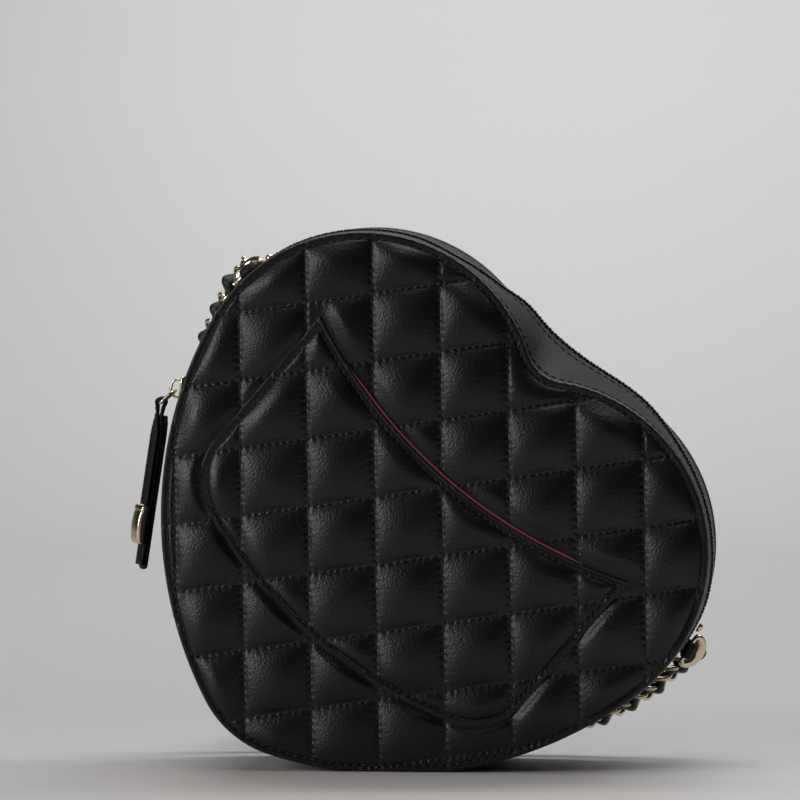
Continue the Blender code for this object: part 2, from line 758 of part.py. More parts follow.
def round_section(middle, first, second, radius):
    made = []
    for k in range(ROUND_SIDES):
        angle = TURN * k / ROUND_SIDES
        made.append(tuple(middle + first * math.cos(angle) * radius + second * math.sin(angle) * radius))
    return made


def slider_pieces():
    """The slider, its ring, and the folded leather pull with its metal end."""
    top = TEETH_PROUD + SLIDER_CLEAR
    slider_plate("slider_body", top, top + PLATE_THICK, GOLD_LOOK)
    low = -TEETH_DEEP - SLIDER_CLEAR - TEETH_PROUD
    slider_plate("slider_lower_plate", low - PLATE_THICK, low, GOLD_LOOK)
    bridge_base = top + PLATE_THICK + GAP
    slider_bridge(bridge_base)
    middle, out, down = slider_frame()
    hold = middle + out * (bridge_base + BRIDGE_HIGH - BRIDGE_THICK - GAP - RING_WIRE)
    hold = hold + down * (BRIDGE_LONG * HALF - BRIDGE_THICK * 2 - RING_WIRE)
    return hold


def clear_of(point):
    return (point[0], 0, point[1])


def pull_pieces(hold):
    """The ring hangs from the bridge; the pull hangs from the ring."""
    swung = np.array([math.cos(RING_ANGLE + LEAN), math.sin(RING_ANGLE + LEAN)])
    hang = np.array([math.cos(PULL_ANGLE + LEAN), math.sin(PULL_ANGLE + LEAN)])
    ring_middle = hold + swung * RING_RADIUS
    square_ring(
        "pull_ring",
        clear_of(ring_middle),
        clear_of(swung),
        RING_RADIUS,
        RING_HALF_WIDE,
        RING_WIRE,
        GOLD_LOOK,
        clear_of(hold),
    )
    low = hold + swung * RING_RADIUS * 2
    side = np.array([-hang[1], hang[0]])
    if side @ slider_frame()[1] < 0:
        side = -side
    folded_strap(low, hang, side)
    tail(low, hang, side)
    end_cap(low, hang, side)


def folded_strap(low, hang, side):
    """One strip folded over the ring: a short outer leg and a long inner leg."""
    inner = RING_WIRE + GAP
    outer = inner + PULL_LEAF
    line = [(1, PULL_OUTER_LONG)]
    line += [(math.cos(a), -math.sin(a)) for a in np.linspace(0, math.pi, PULL_FOLD_STEPS + 1)]
    line += [(-1, PULL_INNER_LONG)]
    sections = []
    for number, (over, along) in enumerate(line):
        straight = number in (0, len(line) - 1)
        section = []
        for radius, depth in ((inner, -1), (outer, -1), (outer, 1), (inner, 1)):
            length = along if straight else along * radius
            spot = low + side * over * radius + hang * length
            section.append((spot[0], depth * PULL_WIDTH * HALF, spot[1]))
        sections.append(section)
    loft("pull_strap", sections, LEATHER_LOOK, origin=clear_of(low))


def tail(low, hang, side):
    """The second leaf, behind the inner leg, with a rounded end."""
    near = RING_WIRE + GAP + PULL_LEAF + GAP
    far = near + PULL_LEAF
    half = PULL_WIDTH * HALF
    outline = [(half, RING_WIRE), (half, PULL_INNER_LONG)]
    for k in range(1, PULL_FOLD_STEPS):
        angle = math.pi * k / PULL_FOLD_STEPS
        outline.append((half * math.cos(angle), PULL_INNER_LONG + half * math.sin(angle) * HALF))
    outline += [(-half, PULL_INNER_LONG), (-half, RING_WIRE)]
    sections = []
    for distance in (near, far):
        section = []
        for depth, length in outline:
            spot = low - side * distance + hang * length
            section.append((spot[0], depth, spot[1]))
        sections.append(section)
    loft("pull_tail", sections, LEATHER_LOOK, origin=clear_of(low))


def end_cap(low, hang, side):
    """The metal end clipped over the short leg, with a bulged outer face."""
    inner = RING_WIRE + GAP
    leg_out = inner + PULL_LEAF
    half = PULL_WIDTH * HALF + GAP + CAP_WALL
    start = PULL_OUTER_LONG + GAP
    sections = []
    for k in range(CAP_STEPS + 1):
        share = k / CAP_STEPS
        bulge = CAP_BULGE * math.sin(math.pi * share)
        length = start + CAP_LONG * share
        section = []
        for depth, out in ((-half, inner), (half, inner), (half, leg_out + CAP_WALL)):
            section.append((depth, out, length))
        section.append((half * HALF, leg_out + CAP_WALL + bulge, length))
        section.append((-half * HALF, leg_out + CAP_WALL + bulge, length))
        section.append((-half, leg_out + CAP_WALL, length))
        spots = []
        for depth, out, along in section:
            spot = low + side * out + hang * along
            spots.append((spot[0], depth, spot[1]))
        sections.append(spots)
    loft("pull_end_cap", sections, GOLD_LOOK, origin=clear_of(low))


# Strap fittings: a leather tab over the bar of a D ring, and a domed stud beside it
def top_height(side, depth, out, up):
    """How far out the top surface lies from a lobe's zip centre, at a depth."""
    spots = np.array([(across - side * ZIP_ACROSS, along - ZIP_UP) for across, _, along in on_top(depth, 0)])
    toward = spots @ np.array([out.x, out.z])
    past = spots @ np.array([up.x, up.z])
    near = toward > 0
    order = np.argsort(past[near])
    return float(np.interp(0, past[near][order], toward[near][order]))


def fitting_frame(side):
    """Where a fitting stands on the top surface, with its out, up and level directions."""
    out = Vector((side * math.cos(FITTING_ANGLE), 0, math.sin(FITTING_ANGLE)))
    up = Vector((-side * math.sin(FITTING_ANGLE), 0, math.cos(FITTING_ANGLE)))
    near = top_height(side, TAB_DEPTH - TAB_REACH, out, up)
    far = top_height(side, TAB_DEPTH + TAB_REACH, out, up)
    ground = Vector((0, TAB_REACH * 2, 0)) + out * (far - near)
    ground.normalize()
    lift = out - ground * out.dot(ground)
    lift.normalize()
    centre = Vector((side * ZIP_ACROSS, 0, ZIP_UP))
    foot = centre + out * top_height(side, TAB_DEPTH, out, up) + Vector((0, TAB_DEPTH, 0))
    return foot, up, ground, lift


def strap_fittings(side, name):
    foot, up, ground, lift = fitting_frame(side)
    bar = foot + lift * (D_WIRE + GAP * 2)
    tab_strap(name, foot, up, ground, lift)
    d_ring(name, bar, up, ground, lift)
    stud(name, foot + up * (D_HALF_BAR + D_WIRE + STUD_RADIUS + GAP * 2), lift, up, ground)
    bow = ground * math.sin(D_TILT) + lift * math.cos(D_TILT)
    return bar + bow * (D_BOW + D_WIRE), bow


def tab_strap(name, foot, up, ground, lift):
    """A leather strip sewn down at both ends and arched over the ring's bar."""
    inner = D_WIRE + GAP
    outer = inner + TAB_THICK
    base = GAP
    line = [(-TAB_REACH, base, base + TAB_THICK)]
    for k in range(TAB_STEPS + 1):
        angle = math.pi - math.pi * k / TAB_STEPS
        line.append((math.cos(angle), math.sin(angle), None))
    line.append((TAB_REACH, base, base + TAB_THICK))
    centre = D_WIRE + GAP * 2
    sections = []
    for along, low, high in line:
        if high is None:
            spots = ((along * inner, centre + low * inner), (along * outer, centre + low * outer))
            spots = tuple((a, max(b, base + TAB_THICK * n)) for n, (a, b) in enumerate(spots))
        else:
            spots = ((along, low), (along, high))
        section = []
        for (a, b), width in ((spots[0], -1), (spots[1], -1), (spots[1], 1), (spots[0], 1)):
            point = foot + ground * a + lift * b + up * width * TAB_WIDTH * HALF
            section.append(tuple(point))
        sections.append(section)
    loft("strap_tab_" + name, sections, LEATHER_LOOK)


def d_ring(name, bar, up, ground, lift):
    """A straight bar with a round bow, swung back towards the strap."""
    bow = ground * math.sin(D_TILT) + lift * math.cos(D_TILT)
    side = up.cross(bow)
    line = []
    corner = D_WIRE
    for k in range(D_STEPS + 1):
        angle = math.pi * k / D_STEPS
        line.append((math.cos(angle) * D_HALF_BAR, corner + math.sin(angle) * (D_BOW - corner)))
    line.append((-D_HALF_BAR + corner, 0))
    line.append((0, 0))
    line.append((D_HALF_BAR - corner, 0))
    spots = [bar + up * a + bow * b for a, b in line]
    sections = []
    for k, spot in enumerate(spots):
        ahead = (spots[(k + 1) % len(spots)] - spots[k - 1]).normalized()
        out = ahead.cross(side).normalized()
        sections.append(round_section(spot, out, side, D_WIRE))
    loft("d_ring_" + name, sections, GOLD_LOOK, closed=True, origin=tuple(bar))


def stud(name, foot, lift, up, ground):
    """A domed stud head beside the ring."""
    foot = foot + lift * GAP
    sections = []
    for k in range(STUD_RISE_STEPS + 1):
        angle = RIGHT_ANGLE * k / STUD_RISE_STEPS * STUD_COVER_SHARE
        radius = STUD_RADIUS * math.cos(angle)
        height = STUD_HEIGHT * math.sin(angle) + (STUD_FOOT if k else 0)
        section = []
        for n in range(STUD_STEPS):
            turn = TURN * n / STUD_STEPS
            point = foot + lift * height
            point = point + up * radius * math.cos(turn) + ground * radius * math.sin(turn)
            section.append(tuple(point))
        sections.append(section)
    loft("tab_stud_" + name, sections, GOLD_LOOK)


def slip_pocket(face):
    """A flat pocket sewn inside on the back lining."""
    outline = []
    half_width = SLIP_WIDTH * HALF - SLIP_CORNER
    half_height = SLIP_HEIGHT * HALF - SLIP_CORNER
    for turn, (across, along) in enumerate(((1, 1), (-1, 1), (-1, -1), (1, -1))):
        centre = (across * half_width, SLIP_UP + along * half_height)
        outline += arc(centre, SLIP_CORNER, turn * RIGHT_ANGLE, (turn + 1) * RIGHT_ANGLE, CORNER_STEPS)
    layer("slip_pocket", outline, face - GAP, face - GAP - LINING, LINING_LOOK)


# The strap: two free stretches and a coil behind the bag, in the room's own axes
def rounded_path(points, spacing):
    """A smooth line through the points, with a point every spacing."""
    points = [Vector(point) for point in points]
    points = [points[0] * 2 - points[1]] + points + [points[-1] * 2 - points[-2]]
    fine = []
    for a, b, c, d in zip(points, points[1:], points[2:], points[3:], strict=False):
        for share in np.linspace(0, 1, CURVE_STEPS, endpoint=False):
            t, t2, t3 = share, share**2, share**3
            spot = b * 2 + (c - a) * t + (a * 2 - b * 5 + c * 4 - d) * t2
            fine.append((spot + (b * 3 - a - c * 3 + d) * t3) * HALF)
    fine.append(points[-2])
    fine = np.array([tuple(p) for p in fine])
    length = float(np.linalg.norm(np.diff(fine, axis=0), axis=1).sum())
    line = resampled(fine, max(2, round(length / spacing)))
    line[:, 2] = np.maximum(line[:, 2], CHAIN * HALF)
    return line


def cord(name, points):
    data = bpy.data.curves.new(name, "CURVE")
    data.dimensions = "3D"
    data.bevel_depth = CHAIN * HALF
    data.bevel_resolution = CHAIN_ROUND_STEPS
    data.use_fill_caps = True
    line = data.splines.new("POLY")
    line.points.add(len(points) - 1)
    for point, spot in zip(line.points, points, strict=True):
        point.co = (*spot, 1)
    data.materials.append(CHAIN_LOOK)
    made = bpy.data.objects.new(name, data)
    bpy.context.scene.collection.objects.link(made)
    return made


def eased(share):
    share = min(1, max(0, share))
    return share * share * (3 - 2 * share)


def coil_point(turns):
    """A place on the coiled strap, whose turns lie on each other and step up at their ends."""
    whole = math.floor(turns)
    step_up = eased((turns - whole - STEP_UP_SHARES[0]) / (STEP_UP_SHARES[1] - STEP_UP_SHARES[0]))
    height = CHAIN * HALF + TURN_SPACING * (whole + step_up)
    angle = turns * math.pi * 2 - RIGHT_ANGLE
    middle_y = COIL_NEAR_Y + COIL_RADIUS
    return (COIL_MIDDLE_X + COIL_RADIUS * math.cos(angle), middle_y + COIL_RADIUS * math.sin(angle), height)


def coil_line():
    turns = np.linspace(0, COIL_LOOP_STEPS, COIL_FINE_STEPS)
    fine = np.array([coil_point(turn) for turn in turns])
    length = float(np.linalg.norm(np.diff(fine, axis=0), axis=1).sum())
    return resampled(fine, COIL_LOOP_STEPS * COIL_TURN_STEPS), length


def room_axes(point):
    """A place in the heart's axes, in the room's axes."""
    across, depth, along = point
    height = HEART_HEIGHT - across * math.sin(LEAN) + along * math.cos(LEAN)
    return Vector((HEART_X + across * math.cos(LEAN) + along * math.sin(LEAN), depth, height))


def strap(left_end, left_way, right_end, right_way):
    """Hangs the chain from both rings, with its spare length coiled behind the bag."""
    coil, coil_length = coil_line()
    first = Vector(coil[0])
    first_way = (Vector(coil[1]) - first).normalized()
    last = Vector(coil[-1])
    last_way = (last - Vector(coil[-2])).normalized()
    floor = CHAIN * HALF
    start = left_end + left_way * GAP
    left = [start, start + left_way * CHAIN * HALF]
    left += [Vector(place) * MM for place in LEFT_ROUTE]
    left += [first - first_way * CHAIN, first - first_way * GAP]
    start = right_end + right_way * GAP
    right = [last + last_way * GAP, last + last_way * CHAIN]
    right += [Vector(place) * MM for place in RIGHT_ROUTE]
    right += [start + right_way * CHAIN * HALF, start]
    lines = {
        "strap_fall_left": rounded_path(left, CHAIN * CHAIN_STEP_SHARE),
        "strap_rise_right": rounded_path(right, CHAIN * CHAIN_STEP_SHARE),
    }
    total = coil_length
    for name, line in lines.items():
        length = float(np.linalg.norm(np.diff(line, axis=0), axis=1).sum())
        total += length
        print(name, "length", round(length, 4), "lowest", round(float(line[:, 2].min()) - floor, 5))
        cord(name, line)
    cord("strap_coil", coil)
    print("strap_coil length", round(coil_length, 4), "least gap", round(self_gap(coil), 5))
    print("strap length", round(total, 4))


def self_gap(line):
    """The least clear space between two passes of the coil."""
    line = resampled(line, len(line) * CURVE_STEPS)
    reach = round(CHAIN * PASS_SHARE / np.linalg.norm(line[1] - line[0]))
    gaps = []
    for k in range(len(line) - reach):
        gaps.append(float(np.linalg.norm(line[k + reach :] - line[k], axis=1).min()))
    return min(gaps) - CHAIN


clear_scene()
LEATHER_LOOK = material("black_leather", (0.012, 0.012, 0.013), 0, 0.4)
PIPING_LOOK = material("glossy_edge_leather", (0.02, 0.02, 0.02), 0, 0.25)
LINING_LOOK = material("burgundy_lining", (0.17, 0.02, 0.035), 0, 0.7)
BOARD_LOOK = material("grey_board", (0.25, 0.25, 0.24), 0, 0.8)
TAPE_LOOK = material("zip_tape_fabric", (0.015, 0.015, 0.016), 0, 0.75)
TOOTH_LOOK = material("dark_zip_teeth", (0.03, 0.03, 0.032), 0.6, 0.35)
GOLD_LOOK = material("pale_gold", (0.78, 0.66, 0.48), 1, 0.18)
CHAIN_LOOK = material("woven_chain", (0.5, 0.42, 0.3), 0.7, 0.35)

AXES = bpy.data.objects.new("heart_axes", None)
bpy.context.scene.collection.objects.link(AXES)
AXES.location = (HEART_X, 0, HEART_HEIGHT)
AXES.rotation_euler = (0, LEAN, 0)

front_pieces()
back_pieces()
layers_behind(-1, "front")
LINING_FACE = layers_behind(1, "back")
base_pieces(LINING_FACE)
top_pieces()
zip_pieces()
HOLD = slider_pieces()
pull_pieces(HOLD)
LEFT_END, LEFT_WAY = strap_fittings(-1, "left")
RIGHT_END, RIGHT_WAY = strap_fittings(1, "right")
slip_pocket(LINING_FACE)
ORIGIN = room_axes((0, 0, 0))
strap(
    room_axes(LEFT_END),
    (room_axes(LEFT_WAY) - ORIGIN).normalized(),
    room_axes(RIGHT_END),
    (room_axes(RIGHT_WAY) - ORIGIN).normalized(),
)
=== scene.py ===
# Quilted heart bag: the looks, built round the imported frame
import math

import bmesh
import bpy
import numpy as np
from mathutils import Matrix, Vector, noise
from mathutils.geometry import delaunay_2d_cdt
from mathutils.kdtree import KDTree


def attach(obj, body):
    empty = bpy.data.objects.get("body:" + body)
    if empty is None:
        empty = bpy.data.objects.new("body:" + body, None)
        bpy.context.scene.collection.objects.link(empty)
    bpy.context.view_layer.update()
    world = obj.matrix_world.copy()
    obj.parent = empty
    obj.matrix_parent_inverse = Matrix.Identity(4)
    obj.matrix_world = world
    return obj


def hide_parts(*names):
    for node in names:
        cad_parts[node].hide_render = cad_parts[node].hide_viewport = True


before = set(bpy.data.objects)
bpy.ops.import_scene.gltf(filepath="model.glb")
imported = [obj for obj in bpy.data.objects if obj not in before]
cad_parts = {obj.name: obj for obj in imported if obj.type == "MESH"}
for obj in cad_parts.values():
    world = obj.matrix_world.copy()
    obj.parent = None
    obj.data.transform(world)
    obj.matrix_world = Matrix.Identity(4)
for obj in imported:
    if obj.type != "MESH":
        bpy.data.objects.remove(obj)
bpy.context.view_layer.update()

mm = 0.001
rightAngle = math.pi / 2
turn = 2 * math.pi
mirror = [-1, 1]

# the heart: u runs across it and v along it, towards the notch
heart = {
    "lobe": (39.2 * mm, 10 * mm),
    "lobeRadius": 60.5 * mm,
    "flankRadius": 140.7 * mm,
    "flankStart": math.radians(-11.6),
    "tipRadius": 37.7 * mm,
    "notchRadius": 14 * mm,
    "lean": math.radians(40.5),
    "sink": 1.2 * mm,
    "seamDepth": 27 * mm,
    "panelInset": 0.35 * mm,
    "rimPoints": 640,
    "finePoints": 2400,
}


def arcLine(centre, radius, start, end, step=0.5 * mm):
    count = max(2, round(abs(end - start) * radius / step))
    angles = np.linspace(start, end, count + 1)
    return np.column_stack([centre[0] + radius * np.cos(angles), centre[1] + radius * np.sin(angles)])


def joinLines(*runs):
    return np.vstack([runs[0]] + [run[1:] for run in runs[1:]])


def mirrored(half):
    return np.vstack([half, (half * mirror)[::-1][1:]])


def distances(line):
    return np.concatenate([[0], np.cumsum(np.linalg.norm(np.diff(line, axis=0), axis=1))])


def placesOn(line, along, wanted):
    return np.column_stack([np.interp(wanted, along, line[:, k]) for k in range(line.shape[1])])


def evenly(line, count):
    along = distances(line)
    return placesOn(line, along, np.linspace(0, along[-1], count + 1))


def lineLength(line):
    return float(np.linalg.norm(np.diff(line, axis=0), axis=1).sum())


def unit(rows):
    return rows / np.linalg.norm(rows, axis=-1, keepdims=True)


def smoothStep(x):
    x = np.clip(x, 0, 1)
    return x * x * (3 - 2 * x)


def bell(x, width):
    return np.exp(-((x / width) ** 2))


lobe = heart["lobe"]
flankReach = heart["flankRadius"] - heart["lobeRadius"]
flank = (
    lobe[0] - flankReach * math.cos(heart["flankStart"]),
    lobe[1] - flankReach * math.sin(heart["flankStart"]),
)
tip = (0, flank[1] - math.sqrt((heart["flankRadius"] - heart["tipRadius"]) ** 2 - flank[0] ** 2))
tipEnd = math.atan2(tip[1] - flank[1], -flank[0])
notch = (0, lobe[1] + math.sqrt((heart["lobeRadius"] + heart["notchRadius"]) ** 2 - lobe[0] ** 2))
notchStart = math.atan2(notch[1] - lobe[1], -lobe[0])
leanCos = math.cos(heart["lean"])
leanSin = math.sin(heart["lean"])
heartX = -(flank[0] * leanCos + flank[1] * leanSin)
heartZ = heart["flankRadius"] - heart["sink"] + flank[0] * leanSin - flank[1] * leanCos
acrossWay = np.array([leanCos, 0, -leanSin])
alongWay = np.array([leanSin, 0, leanCos])


# the heart's own u, depth and v as places in the room
def inRoom(u, y, v):
    u, y, v = np.broadcast_arrays(np.asarray(u, float), np.asarray(y, float), np.asarray(v, float))
    x = heartX + u * acrossWay[0] + v * alongWay[0]
    z = heartZ + u * acrossWay[2] + v * alongWay[2]
    return np.stack([x, y, z], -1)


def heartLine(inset, count=heart["rimPoints"]):
    right = joinLines(
        arcLine(tip, heart["tipRadius"] - inset, -rightAngle, tipEnd),
        arcLine(flank, heart["flankRadius"] - inset, tipEnd, heart["flankStart"]),
        arcLine(lobe, heart["lobeRadius"] - inset, heart["flankStart"], notchStart),
        arcLine(notch, heart["notchRadius"] + inset, notchStart - math.pi, -rightAngle),
    )
    return evenly(mirrored(right), count)[:-1]


# lifts what would sink below the floor, where the flank is pressed flat
def seated(line, floor):
    height = heartZ + line[:, 0] * acrossWay[2] + line[:, 1] * alongWay[2]
    lift = np.maximum(0, floor - height)
    return line + lift[:, None] * np.array([acrossWay[2], alongWay[2]])


def seatedRim(inset, count=heart["rimPoints"]):
    return seated(heartLine(inset, count), inset)


def within(points, outline):
    found = np.zeros(len(points), bool)
    for (a0, b0), (a1, b1) in zip(outline, np.roll(outline, -1, axis=0)):
        if b0 == b1:
            continue
        crossed = (b0 > points[:, 1]) != (b1 > points[:, 1])
        found ^= crossed & (points[:, 0] < a0 + (points[:, 1] - b0) * (a1 - a0) / (b1 - b0))
    return found


def distanceTo(points, line):
    tree = KDTree(len(line))
    for k, (a, b) in enumerate(line):
        tree.insert((a, b, 0), k)
    tree.balance()
    return np.array([tree.find((a, b, 0))[2] for a, b in points])


def fieldNoise(u, v, size, seed):
    return np.array([noise.noise(Vector((a / size, b / size, seed))) for a, b in zip(u, v)])


def makeMesh(name, points, faces, looks, body="bag"):
    mesh = bpy.data.meshes.new(name)
    mesh.from_pydata([tuple(p) for p in points], [], [tuple(f) for f in faces])
    mesh.validate()
    mesh.update()
    for look in looks:
        mesh.materials.append(look)
    mesh.shade_smooth()
    made = bpy.data.objects.new(name, mesh)
    bpy.context.scene.collection.objects.link(made)
    if body:
        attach(made, body)
    return made


def fixNormals(made):
    shape = bmesh.new()
    shape.from_mesh(made.data)
    bmesh.ops.recalc_face_normals(shape, faces=shape.faces)
    shape.to_mesh(made.data)
    shape.free()
    return made


# quads between rows of section points, with end caps
def tubeFaces(rows, sides, closed=False):
    faces = []
    for row in range(rows if closed else rows - 1):
        here = row * sides
        there = (row + 1) % rows * sides
        for k in range(sides):
            step = (k + 1) % sides
            faces.append((here + k, here + step, there + step, there + k))
    if not closed:
        faces.append(tuple(range(sides))[::-1])
        faces.append(tuple(range((rows - 1) * sides, rows * sides)))
    return faces


def skinned(name, rows, look, body="bag"):
    rows = np.array(rows)
    faces = tubeFaces(rows.shape[0], rows.shape[1])
    return fixNormals(makeMesh(name, rows.reshape(-1, 3), faces, [look], body))


def standsFor(made, slot, *nodes):
    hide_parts(*nodes)


def wireTube(line, radius, sides=10, closed=False, first=(0.0, 1.0, 0.0)):
    if closed:
        ahead = unit(np.roll(line, -1, axis=0) - np.roll(line, 1, axis=0))
    else:
        ahead = unit(np.gradient(line, axis=0))
    side = np.array(first, float)
    ways = []
    for way in ahead:  # the sideways axis turns as little as it can
        side = unit(side - way * side.dot(way))
        ways.append(side)
    up = np.cross(ahead, np.array(ways))
    angles = np.arange(sides)[None, :, None] * turn / sides
    around = np.cos(angles) * np.array(ways)[:, None, :] + np.sin(angles) * up[:, None, :]
    radius = np.broadcast_to(np.asarray(radius, float), (len(line),))
    points = line[:, None, :] + radius[:, None, None] * around
    return points.reshape(-1, 3), tubeFaces(len(line), sides, closed)


def joinMeshes(parts):
    points = []
    faces = []
    count = 0
    for partPoints, partFaces in parts:
        points.append(np.asarray(partPoints))
        faces += [tuple(k + count for k in face) for face in partFaces]
        count += len(partPoints)
    return np.vstack(points), faces


# a shader socket that sums, products and mixes are written with
class Wire:
    def __init__(self, tree, socket):
        self.tree = tree
        self.socket = socket

    def node(self, kind, settings=None, out=0, **values):
        made = self.tree.nodes.new(kind)
        for key, value in (settings or {}).items():
            setattr(made, key, value)
        for key, value in values.items():
            socket = made.inputs[int(key[1:]) if key[1:].isdigit() else key.replace("_", " ")]
            if isinstance(value, Wire):
                self.tree.links.new(value.socket, socket)
            else:
                socket.default_value = value
        return Wire(self.tree, made.outputs[out])

    def maths(self, operation, a, b=0.0):
        return self.node("ShaderNodeMath", {"operation": operation}, i0=a, i1=b)

    def __add__(self, other):
        return self.maths("ADD", self, other)

    def __radd__(self, other):
        return self.maths("ADD", other, self)

    def __sub__(self, other):
        return self.maths("SUBTRACT", self, other)

    def __rsub__(self, other):
        return self.maths("SUBTRACT", other, self)

    def __mul__(self, other):
        return self.maths("MULTIPLY", self, other)

    def __rmul__(self, other):
        return self.maths("MULTIPLY", other, self)

    def sine(self):
        return self.maths("SINE", self)

    def fract(self):
        return self.maths("FRACT", self)

    def exponent(self):
        return self.maths("EXPONENT", self)

    def size(self):
        return self.maths("ABSOLUTE", self)

    def clamped(self):
        return self.node("ShaderNodeClamp", i0=self)

    def ranged(self, low, high):
        return self * (high - low) + low

    def vectors(self, operation, other, out=0, **more):
        return self.node("ShaderNodeVectorMath", {"operation": operation}, out, i0=self, i1=other, **more)

    def dot(self, way):
        return self.vectors("DOT_PRODUCT", tuple(way), 1)

    def blend(self, low, high):
        low, high = [c if isinstance(c, Wire) else (*c, 1) for c in (low, high)]
        return self.node("ShaderNodeMix", {"data_type": "RGBA"}, 2, i0=self, i6=low, i7=high)

    def cloud(self, scale, detail, **more):
        return self.node("ShaderNodeTexNoise", Vector=self, Scale=scale, Detail=detail, **more)

    def bump(self, distance, strength=1.0, **before):
        return self.node("ShaderNodeBump", Strength=strength, Distance=distance, Height=self, **before)

    def feed(self, shader, name):
        self.tree.links.new(self.socket, shader.inputs[name])


def newLook(name, colour, **settings):
    made = bpy.data.materials.new(name)
    made.use_nodes = True
    tree = made.node_tree
    shader = tree.nodes["Principled BSDF"]
    shader.inputs["Base Color"].default_value = (*colour, 1)
    for key, value in settings.items():
        shader.inputs[key.replace("_", " ")].default_value = value
    place = Wire(tree, tree.nodes.new("ShaderNodeTexCoord").outputs["Object"])
    return made, shader, place


quilt = {
    "pitch": 23.3 * mm,
    "angle": math.radians(41.25),
    "up": 6.8 * mm,
    "puff": 3.5 * mm,
    "power": 0.6,
    "crown": 2.3 * mm,
    "band": 0.8 * mm,
    "seam": 2.1 * mm,
    "rise": 9.0 * mm,
    "border": 0.27,
    "grid": 25,
    "cells": 9,
    "stitch": 2.6 * mm,
    "edgeRound": 0.4 * mm,
    "grooveDeep": 0.3 * mm,
    "grooveWide": 0.45 * mm,
    "notchDeep": 0.28 * mm,
    "rings": (0.05, 0.13, 0.24, 0.4, 0.9, 1.5, 1.85, 2.1, 2.35, 2.7, 3.1, 3.6),
    "gridClear": 3.9 * mm,
    "skirt": 1.4 * mm,
    "frontSeed": 3.0,
    "backSeed": 11.0,
}
firstWay = np.array([math.cos(quilt["angle"]), math.sin(quilt["angle"])]) / quilt["pitch"]
secondWay = firstWay * [1, -1]
firstRoom = acrossWay * firstWay[0] + alongWay * firstWay[1]
secondRoom = acrossWay * secondWay[0] + alongWay * secondWay[1]
quiltMiddle = inRoom(0, 0, quilt["up"])
leather = {
    "bend": (0.0002,) * 3,
    "bendScale": 420,
    "pebbleScale": 1180,
    "swellScale": 700,
    "quiltShine": {"Specular_IOR_Level": 0.4, "Coat_Weight": 0.05, "Coat_Roughness": 0.3},
    "quiltColours": ((0.0016, 0.0018, 0.0023), (0.0026, 0.0028, 0.0034)),
    "gatherWidth": 1.0 * mm,
    "gatherHigh": 0.12 * mm,
    "grainHigh": 0.1 * mm,
    "bandGrainHigh": 0.13 * mm,
}


# pebbled grain: small cells with softer swellings under them
def leatherGrain(place, fine):
    bent = place.cloud(leather["bendScale"] * fine, 2.0, out=1)
    moved = bent.vectors("MULTIPLY_ADD", leather["bend"], i2=place)
    scale = leather["pebbleScale"] * fine
    smooth = {"feature": "SMOOTH_F1"}
    pebbles = moved.node("ShaderNodeTexVoronoi", smooth, Vector=moved, Scale=scale, Smoothness=0.15)
    swell = place.cloud(leather["swellScale"] * fine, 3.0, Roughness=0.55)
    return swell * 0.1 - pebbles


def quiltedLeather():
    look, shader, place = newLook("black_lambskin", (0.0085, 0.009, 0.0098), **leather["quiltShine"])
    first = place.dot(firstRoom) - float(quiltMiddle @ firstRoom)
    second = place.dot(secondRoom) - float(quiltMiddle @ secondRoom)
    gathers = []
    for near, along in ((first, second), (second, first)):
        off = ((near + 0.5).fract() - 0.5).size()
        close = (off * (-quilt["pitch"] / leather["gatherWidth"])).exponent()
        wobble = place.cloud(160.0, 1.0)
        ripple = (along * (turn * quilt["pitch"] / quilt["stitch"]) + wobble * 5).sine()
        gathers.append(ripple * close)
    creases = place.cloud(190.0, 2.0, Distortion=0.4)
    soft = (gathers[0] + gathers[1] + creases * 0.3).bump(leather["gatherHigh"])
    leatherGrain(place, 1.0).bump(leather["grainHigh"], Normal=soft).feed(shader, "Normal")
    mottle = place.cloud(70.0, 3.0)
    mottle.ranged(0.38, 0.46).feed(shader, "Roughness")
    mottle.blend(*leather["quiltColours"]).feed(shader, "Base Color")
    return look


def smoothLeather(name, fine, roughness, colour=(0.003, 0.0032, 0.0038), shine=0.42):
    look, shader, place = newLook(name, colour, **{**leather["quiltShine"], "Specular_IOR_Level": shine})
    leatherGrain(place, fine).bump(leather["bandGrainHigh"]).feed(shader, "Normal")
    mottle = place.cloud(90.0, 3.0)
    mottle.ranged(roughness - 0.05, roughness + 0.07).feed(shader, "Roughness")
    mottle.blend(colour, [c * 1.4 for c in colour]).feed(shader, "Base Color")
    return look


# plain weave: two sets of threads that pass over each other
def wovenCloth(name, colour, lighter, width):
    look, shader, place = newLook(name, colour, Roughness=0.8, Sheen_Weight=0.25)
    rate = turn / width
    warp = (place.dot(acrossWay * rate) + place.dot((0, rate * 0.37, 0))).sine()
    weft = (place.dot(alongWay * rate) + place.dot((0, rate, 0))).sine()
    weave = warp * weft * 0.5 + 0.5
    weave.bump(0.1 * mm, 0.8).feed(shader, "Normal")
    fleck = place.cloud(900.0, 2.0)
    (weave * 0.6 + fleck * 0.4).blend(colour, lighter).feed(shader, "Base Color")
    return look


def plated(name, colour, roughness):
    look, shader, place = newLook(name, colour, Metallic=1.0)
    haze = place.cloud(320.0, 3.0)
    scratch = place.vectors("MULTIPLY", (1, 6, 1)).cloud(1600.0, 1.0)
    (haze * 0.7 + scratch * 0.3).ranged(roughness - 0.05, roughness + 0.09).feed(shader, "Roughness")
    scratch.bump(0.004 * mm, 0.4).feed(shader, "Normal")
    haze.blend([c * 0.9 for c in colour], colour).feed(shader, "Base Color")
    return look


